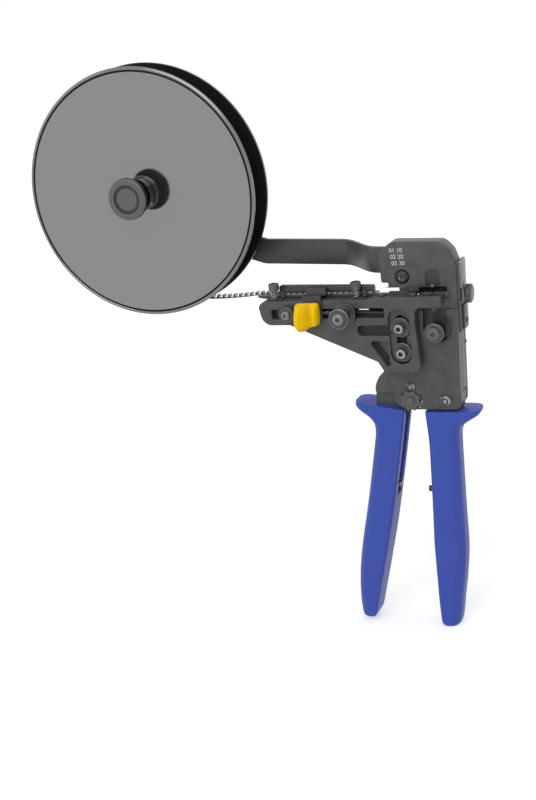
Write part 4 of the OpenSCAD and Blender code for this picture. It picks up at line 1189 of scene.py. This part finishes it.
@dataclass
class Feeder:
    """Feeder bracket with its track, carriage, knobs and hold-down, in millimetres.

    The cage gives the front of the thumb pad, row by row from the top.
    """

    pocket_floor: float = -13.5
    stop_boss: float = -30.1
    guide_boss: float = -22.1
    roller_boss: float = -17.2
    slide_x: float = -22.3
    slide_seat: float = -15.8
    slide_z: Pair = (-20.2, -36.0)
    hold_x: Pair = (-103.3, -48.9)
    hold_y: float = -13.0
    hold_seat: float = 4.4
    hold_floor: float = -0.7
    feed_end: Spot = (-74.0, -13.6, -10.4)
    cage: tuple[tuple[Spot, ...], ...] = (
        ((-87.2, -24.0, -1.7), (-83.4, -25.8, -1.6), (-78.6, -21.6, -1.8), (-74.6, -25.2, -1.6),
         (-71.0, -23.6, -1.7)),
        ((-87.0, -26.2, -5.2), (-83.2, -29.4, -5.3), (-78.4, -20.8, -5.4), (-74.2, -27.8, -5.2),
         (-70.8, -24.4, -5.1)),
        ((-87.6, -27.8, -9.9), (-83.4, -31.6, -10.2), (-78.1, -20.6, -10.1), (-74.2, -28.8, -9.8),
         (-70.7, -24.8, -9.6)),
        ((-87.8, -28.2, -15.4), (-83.3, -31.9, -16.2), (-77.9, -21.4, -14.8),
         (-74.6, -28.4, -14.2), (-70.9, -24.6, -14.0)),
        ((-84.8, -27.0, -19.7), (-82.2, -28.8, -20.6), (-77.6, -22.4, -17.6),
         (-75.2, -25.8, -17.0), (-72.2, -23.8, -16.6)))
    pad_back: Spot = (-77.4, -18.3, -8.6)
    taper: float = 0.92

    def build(self) -> None:
        """Model and dress the feeder."""
        # The bracket's pocket floors are painted near black, as shade.
        Eased("feeder_bracket", BRACKET_BLACK, 0.3, deep=self.pocket_floor).build()
        for node, width in (("strip_track", 0.15), ("hold_down", 0.2), ("feed_carriage", 0.2)):
            Eased(node, TRACK_BLACK, width).build()
        for number, z in enumerate(self.slide_z, 1):
            CapScrew(f"slide_screw_{number}", "slide_screws", (self.slide_x, self.slide_seat, z),
                     Facing.FRONT, radius=2.98, height=3.65, flats=2.9, shank=2.0, reach=17.0,
                     ridges=20, finish=BRIGHT_SCREW).build()
        Eased("slide_washers", DARK_SCREW, 0.15, edge=KNOB_EDGE).build()
        Eased("stop_knob", DARK_SCREW, edge=KNOB_EDGE, boss=self.stop_boss).build()
        Eased("guide_knob", DARK_SCREW, edge=KNOB_EDGE, boss=self.guide_boss).build()
        Eased("ram_roller", DARK_SCREW, edge=KNOB_EDGE, boss=self.roller_boss,
              rubbed=CAP_STEEL).build()
        Eased("ram", BODY_BLACK, 0.2).build()
        Eased("lower_die", DIE_STEEL, 0.12, edge=None).build()
        for number, x in enumerate(self.hold_x, 1):
            CapScrew(f"hold_screw_{number}", "hold_screws", (x, self.hold_y, self.hold_seat),
                     Facing.UP, radius=3.38, height=3.93, flats=3.0, shank=1.5, reach=9.2,
                     ridges=15, finish=CAP_STEEL).build()
            Coil(f"hold_spring_{number}", "hold_springs", (x, self.hold_y, self.hold_floor),
                 Facing.UP, length=5.1, radius=2.25, wire=0.34, halves=7).build()
        Coil("feed_spring_coil", "feed_spring", self.feed_end, Facing.RIGHT,
             length=14.7, radius=1.74, wire=0.2, halves=34).build()
        self.pad()

    def pad(self) -> None:
        """Mould the thumb pad with a hollow between two lobes, from a cage of five by five."""
        piece = Bench.start("thumb_pad_moulded", bpy.ops.mesh.primitive_grid_add,
                            x_subdivisions=4, y_subdivisions=4, size=0.01)
        with Bench.editing(piece, "FACE"):
            bpy.ops.mesh.select_all(action="SELECT")
            Bench.extrude(z=-1.0)
        rows = sorted(piece.data.vertices, key=lambda v: (
            -round(v.co.z * 1e5), -round(v.co.y * 1e5), round(v.co.x * 1e5)))
        spots = [spot for row in self.cage for spot in row]
        middle_x, back_y, middle_z = self.pad_back
        for vertex, (x, y, z) in zip(rows, spots):
            vertex.co = place(x, y, z)
        for vertex, (x, _, z) in zip(rows[len(spots):], spots):
            vertex.co = place(middle_x + (x - middle_x) * self.taper, back_y,
                              middle_z + (z - middle_z) * self.taper)
        with Bench.editing(piece, "EDGE"):
            Bench.face_out()
        Bench.modify(piece, "SUBSURF", levels=4, render_levels=4)
        Bench.stand_in(piece, YELLOW_GLOSS, "thumb_pad", 80.0)


@dataclass
class Reel:
    """Terminal reel between its two flanges, with its knob and arm, in millimetres."""

    x: float = -186.8
    z: float = 69.9
    front: float = -15.25
    back: float = 6.75
    radius: float = 79.5
    bore: float = 5.06
    flange: float = 1.6
    hub: float = 21.0
    facets: int = 192
    screw_turn: float = -34.0  # degrees from the right to the set screw
    collar: float = 10.8

    def build(self) -> None:
        """Model and dress the reel."""
        self.front_flange()
        self.rear_flange()
        self.knob()
        self.set_screw()
        Eased("reel_arm", ARM_BLACK, 0.35).build()
        Eased("spindle", ARM_BLACK, 0.2).build()
        Eased("wound_strip", TIN_PLATE, 0.1, edge=None).build()

    def turned(self, name: str, profile: Sequence[Pair]) -> bpy.types.Object:
        """Turn a ring about the reel's axis.

        Args:
            name: Name of the new piece.
            profile: Radius of each point and its depth behind the reel's front.

        Returns:
            The turned ring.
        """
        return Bench.lathe(name, [(r, -depth) for r, depth in profile],
                           place(self.x, self.front, self.z), steps=self.facets, ring=True)

    def front_flange(self) -> None:
        """Turn the front flange with its glossy rim bead and the groove inside it, painted near
        black as shade.
        """
        r = self.radius
        piece = self.turned("reel_flange_front", (
            (self.bore, 0.15), (r - 3.3, 0.15), (r - 3.15, 0.5), (r - 2.15, 0.5), (r - 2.0, 0.15),
            (r - 1.8, 0.02), (r - 1.4, 0.0), (r - 0.9, 0.12), (r - 0.4, 0.4), (r - 0.1, 0.8),
            (r, 1.15), (r - 0.15, self.flange), (self.bore, self.flange)))
        axis = place(self.x, 0.0, self.z)

        def choose(face: bpy.types.MeshPolygon) -> int:
            """Tell the face, the back, the bead and the groove from one another.

            Args:
                face: One face of the flange.

            Returns:
                Number of its finish.
            """
            inward = r - off_axis(face.center, axis)
            if inward > 3.31:
                return 0 if face.normal.y < -0.5 else 1
            return 3 if inward > 2.01 else 2

        # The groove inside the bead is painted near black, as shade in it.
        Bench.paint(piece, (REEL_GREY, REEL_BLACK, RIM_GLOSS_AND_HIGHLIGHT, PAINTED_GROOVE_SHADE), choose)
        Bench.stand_in(piece, REEL_GREY, "reel_front", 30.0)

    def rear_flange(self) -> None:
        """Turn the rear flange in one with the hub."""
        r, b = self.radius, self.bore
        width, start = self.back - self.front, self.flange + 0.05
        piece = self.turned("reel_flange_rear", (
            (b, start), (self.hub, start), (self.hub, width - self.flange),
            (r - 0.3, width - self.flange), (r, width - 1.3), (r, width - 0.3),
            (r - 0.3, width), (b, width)))
        axis = place(self.x, 0.0, self.z)
        # The rim's rounded corners take the rim finish, a painted highlight along the black
        # flange's edge.
        Bench.paint(piece, (REEL_BLACK, RIM_GLOSS_AND_HIGHLIGHT), lambda face: int(
            off_axis(face.center, axis) > r - 0.25 and abs(face.normal.y) > 0.1))
        Bench.stand_in(piece, REEL_BLACK, "reel_rear", 30.0)

    def knob(self) -> None:
        """Turn the reel knob with its collar, neck and grooved face."""
        b = self.bore
        profile = ((b, 0.0), (10.6, 0.0), (10.9, 0.3), (10.9, 5.1), (10.6, 5.4), (8.3, 5.4),
                   (8.3, 7.0), (9.4, 7.0), (9.4, 12.6), (11.6, 12.9), (11.9, 13.8), (13.0, 14.1),
                   (13.3, 14.6), (13.3, 16.2), (13.1, 16.7), (12.5, 17.1), (11.8, 17.3),
                   (9.0, 17.3), (8.85, 16.7), (8.45, 16.7), (8.3, 16.95), (7.8, 16.95),
                   (7.65, 16.7), (7.35, 16.7), (7.2, 16.95), (0.0, 16.95), (0.0, 12.8),
                   (b, 12.8), (b, 0.0))
        seat = self.front - 0.3
        piece = Bench.lathe("reel_knob_turned", profile, place(self.x, seat, self.z))

        def choose(face: bpy.types.MeshPolygon) -> int | None:
            """Tell the front face and its grooves from the rest.

            Args:
                face: One face of the knob.

            Returns:
                Number of its finish, or None to leave it.
            """
            height = seat - face.center.y / MM
            if face.normal.y >= -0.75:
                return None
            return 1 if height > 16.85 else 2 if height > 16.55 else 0

        # The grooves of the knob's face are painted near black, as shade in them.
        Bench.paint(piece, (KNOB_BLACK, KNOB_FACE, PAINTED_GROOVE_SHADE), choose)
        Bench.stand_in(piece, KNOB_BLACK, "reel_knob", 30.0)

    def set_screw(self) -> None:
        """Sink the small set screw into the knob's collar, low on its right."""
        turn = math.radians(self.screw_turn)
        out = Vector((math.cos(turn), 0.0, math.sin(turn)))
        profile = ((0.0, -1.5), (1.5, -1.5), (1.5, 0.35), (1.2, 0.6), (0.8, 0.6), (0.7, -0.2),
                   (0.0, -0.2))
        centre = place(self.x, self.front - 3.0, self.z) + out * self.collar * MM
        piece = Bench.lathe("knob_set_screw", profile, centre, out, steps=24)
        Bench.smooth(piece, 30.0)
        Bench.finish(piece, BRIGHT_SCREW, "reel_knob")


@dataclass
class SideStop:
    """Side guide, locator and thumb screw at the right edge, in millimetres."""

    bar_edge: float = 0.2
    fine_edge: float = 0.15
    screw_edge: float = 0.1

    def build(self) -> None:
        """Model and dress the side stop."""
        Eased("side_guide", BODY_BLACK, self.bar_edge).build()
        # The locator's eased edges carry a painted highlight.
        Eased("locator", TAB_STEEL, self.fine_edge, edge=PAINTED_HIGHLIGHT_EDGE).build()
        Eased("guide_foot", DARK_SCREW, self.fine_edge).build()
        Eased("foot_screw", DARK_SCREW, self.screw_edge, edge=KNOB_EDGE).build()
        Eased("thumb_screw", DARK_SCREW, self.fine_edge).build()


class Remainder:
    """Solids that keep their own shape and only get a finish."""

    def build(self) -> None:
        """Dress every solid that nothing stands for."""
        for node, solid in NODES.items():
            if solid.hide_render:
                continue
            finish = OWN_FINISH.get(node, SLOT_FINISH[SLOT_OF[node]])
            solid.data.materials.clear()
            solid.data.materials.append(finish.material())
            log.info("solid %s keeps its shape", node)


@dataclass
class Studio:
    """Camera at the picture's angle, soft lamps, pale floor and white surround.

    Each lamp has its name, its direction, its angular size and its strength.
    """

    eye: Spot = (243.467, -795.924, 207.686)
    right: Spot = (0.91712, 0.37926, -0.12272)
    up: Spot = (-0.00959, 0.32876, 0.94436)
    lens: float = 63.0
    ambient: float = 0.42
    floor_glow: float = 0.48
    floor_z: float = -226.3
    floor_size: float = 40.0  # metres
    floor_tone: float = 0.80
    lamps: tuple[tuple[str, Spot, float, float], ...] = (
        ("lamp_key", (0.06, -0.78, 0.62), 44.0, 1.17),
        ("lamp_top", (0.30, 0.15, 0.94), 50.0, 0.32),
        ("lamp_side", (-0.80, -0.50, 0.30), 40.0, 0.25))

    def build(self) -> None:
        """Set up all that isn't part of the tool."""
        self.camera()
        self.surround()
        self.floor()
        for name, towards, spread, power in self.lamps:
            self.lamp(name, Vector(towards), spread, power)
        bpy.context.scene.view_settings.view_transform = "Standard"

    def camera(self) -> None:
        """Stand the camera where the picture was taken from."""
        data = bpy.data.cameras.new("camera")
        data.sensor_width = 36.0
        data.lens = self.lens
        data.clip_start, data.clip_end = 0.05, 100.0
        camera = bpy.data.objects.new("camera", data)
        bpy.context.scene.collection.objects.link(camera)
        right, up = Vector(self.right), Vector(self.up)
        turn = Matrix((right, up, right.cross(up))).transposed()
        camera.matrix_world = Matrix.Translation(place(*self.eye)) @ turn.to_4x4()
        bpy.context.scene.camera = camera

    def lamp(self, name: str, towards: Vector, spread: float, power: float) -> None:
        """Hang one distant soft lamp, which lights the floor evenly.

        Args:
            name: The lamp's name.
            towards: Direction from the tool to the lamp.
            spread: Its angular size in degrees.
            power: Its strength.
        """
        data = bpy.data.lights.new(name, "SUN")
        data.angle = math.radians(spread)
        data.energy = power
        lamp = bpy.data.objects.new(name, data)
        bpy.context.scene.collection.objects.link(lamp)
        turn = (-towards).to_track_quat("-Z", "Y").to_matrix().to_4x4()
        lamp.matrix_world = Matrix.Translation(towards) @ turn

    @staticmethod
    def seen(tree: bpy.types.NodeTree) -> bpy.types.NodeSocket:
        """Add nodes that tell rays that show the surround from rays that light by it.

        Args:
            tree: The node tree of a world or a material.

        Returns:
            A socket that is 1 for camera, glossy and transmitted rays.
        """
        path = tree.nodes.new("ShaderNodeLightPath")
        total = path.outputs["Is Camera Ray"]
        for name in ("Is Glossy Ray", "Is Transmission Ray"):
            total = math_node(tree, "MAXIMUM", total, path.outputs[name])
        return total

    def surround(self) -> None:
        """Make the world white where it is seen or mirrored, and soft grey as a light."""
        world = bpy.data.worlds.new("surround")
        bpy.context.scene.world = world
        world.use_nodes = True
        tree = world.node_tree
        background, level = tree.nodes["Background"], tree.nodes.new("ShaderNodeMapRange")
        background.inputs["Color"].default_value = (1.0, 1.0, 1.0, 1.0)
        level.inputs["To Min"].default_value = self.ambient
        tree.links.new(self.seen(tree), level.inputs["Value"])
        tree.links.new(level.outputs["Result"], background.inputs["Strength"])

    def floor(self) -> None:
        """Lay the plain pale floor, whose own light makes it white where no shadow falls."""
        floor = Bench.start("floor", bpy.ops.mesh.primitive_plane_add, size=self.floor_size,
                            location=place(-90.0, 0.0, self.floor_z))
        made = bpy.data.materials.new("floor_white")
        made.use_nodes = True
        tree = made.node_tree
        nodes, links = tree.nodes, tree.links
        shader = nodes["Principled BSDF"]
        tone = self.floor_tone
        shader.inputs["Base Color"].default_value = (tone, tone, tone, 1.0)
        shader.inputs["Roughness"].default_value = 0.9
        shader.inputs["Specular IOR Level"].default_value = 0.0
        glow, add = nodes.new("ShaderNodeEmission"), nodes.new("ShaderNodeAddShader")
        level = math_node(tree, "MULTIPLY", self.seen(tree), self.floor_glow)
        links.new(level, glow.inputs["Strength"])
        links.new(shader.outputs["BSDF"], add.inputs[0])
        links.new(glow.outputs["Emission"], add.inputs[1])
        links.new(add.outputs["Shader"], nodes["Material Output"].inputs["Surface"])
        floor.data.materials.append(made)


def main() -> None:
    """Build the studio and every sub-assembly."""
    logging.basicConfig(level=logging.INFO, format="%(name)s: %(message)s")
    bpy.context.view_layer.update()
    Studio().build()
    for part in (Head(), Body(), Grips(), Feeder(), Reel(), SideStop(), Remainder()):
        log.info("building %s", type(part).__name__)
        part.build()
    bpy.ops.object.select_all(action="DESELECT")


if __name__ == "__main__":
    main()
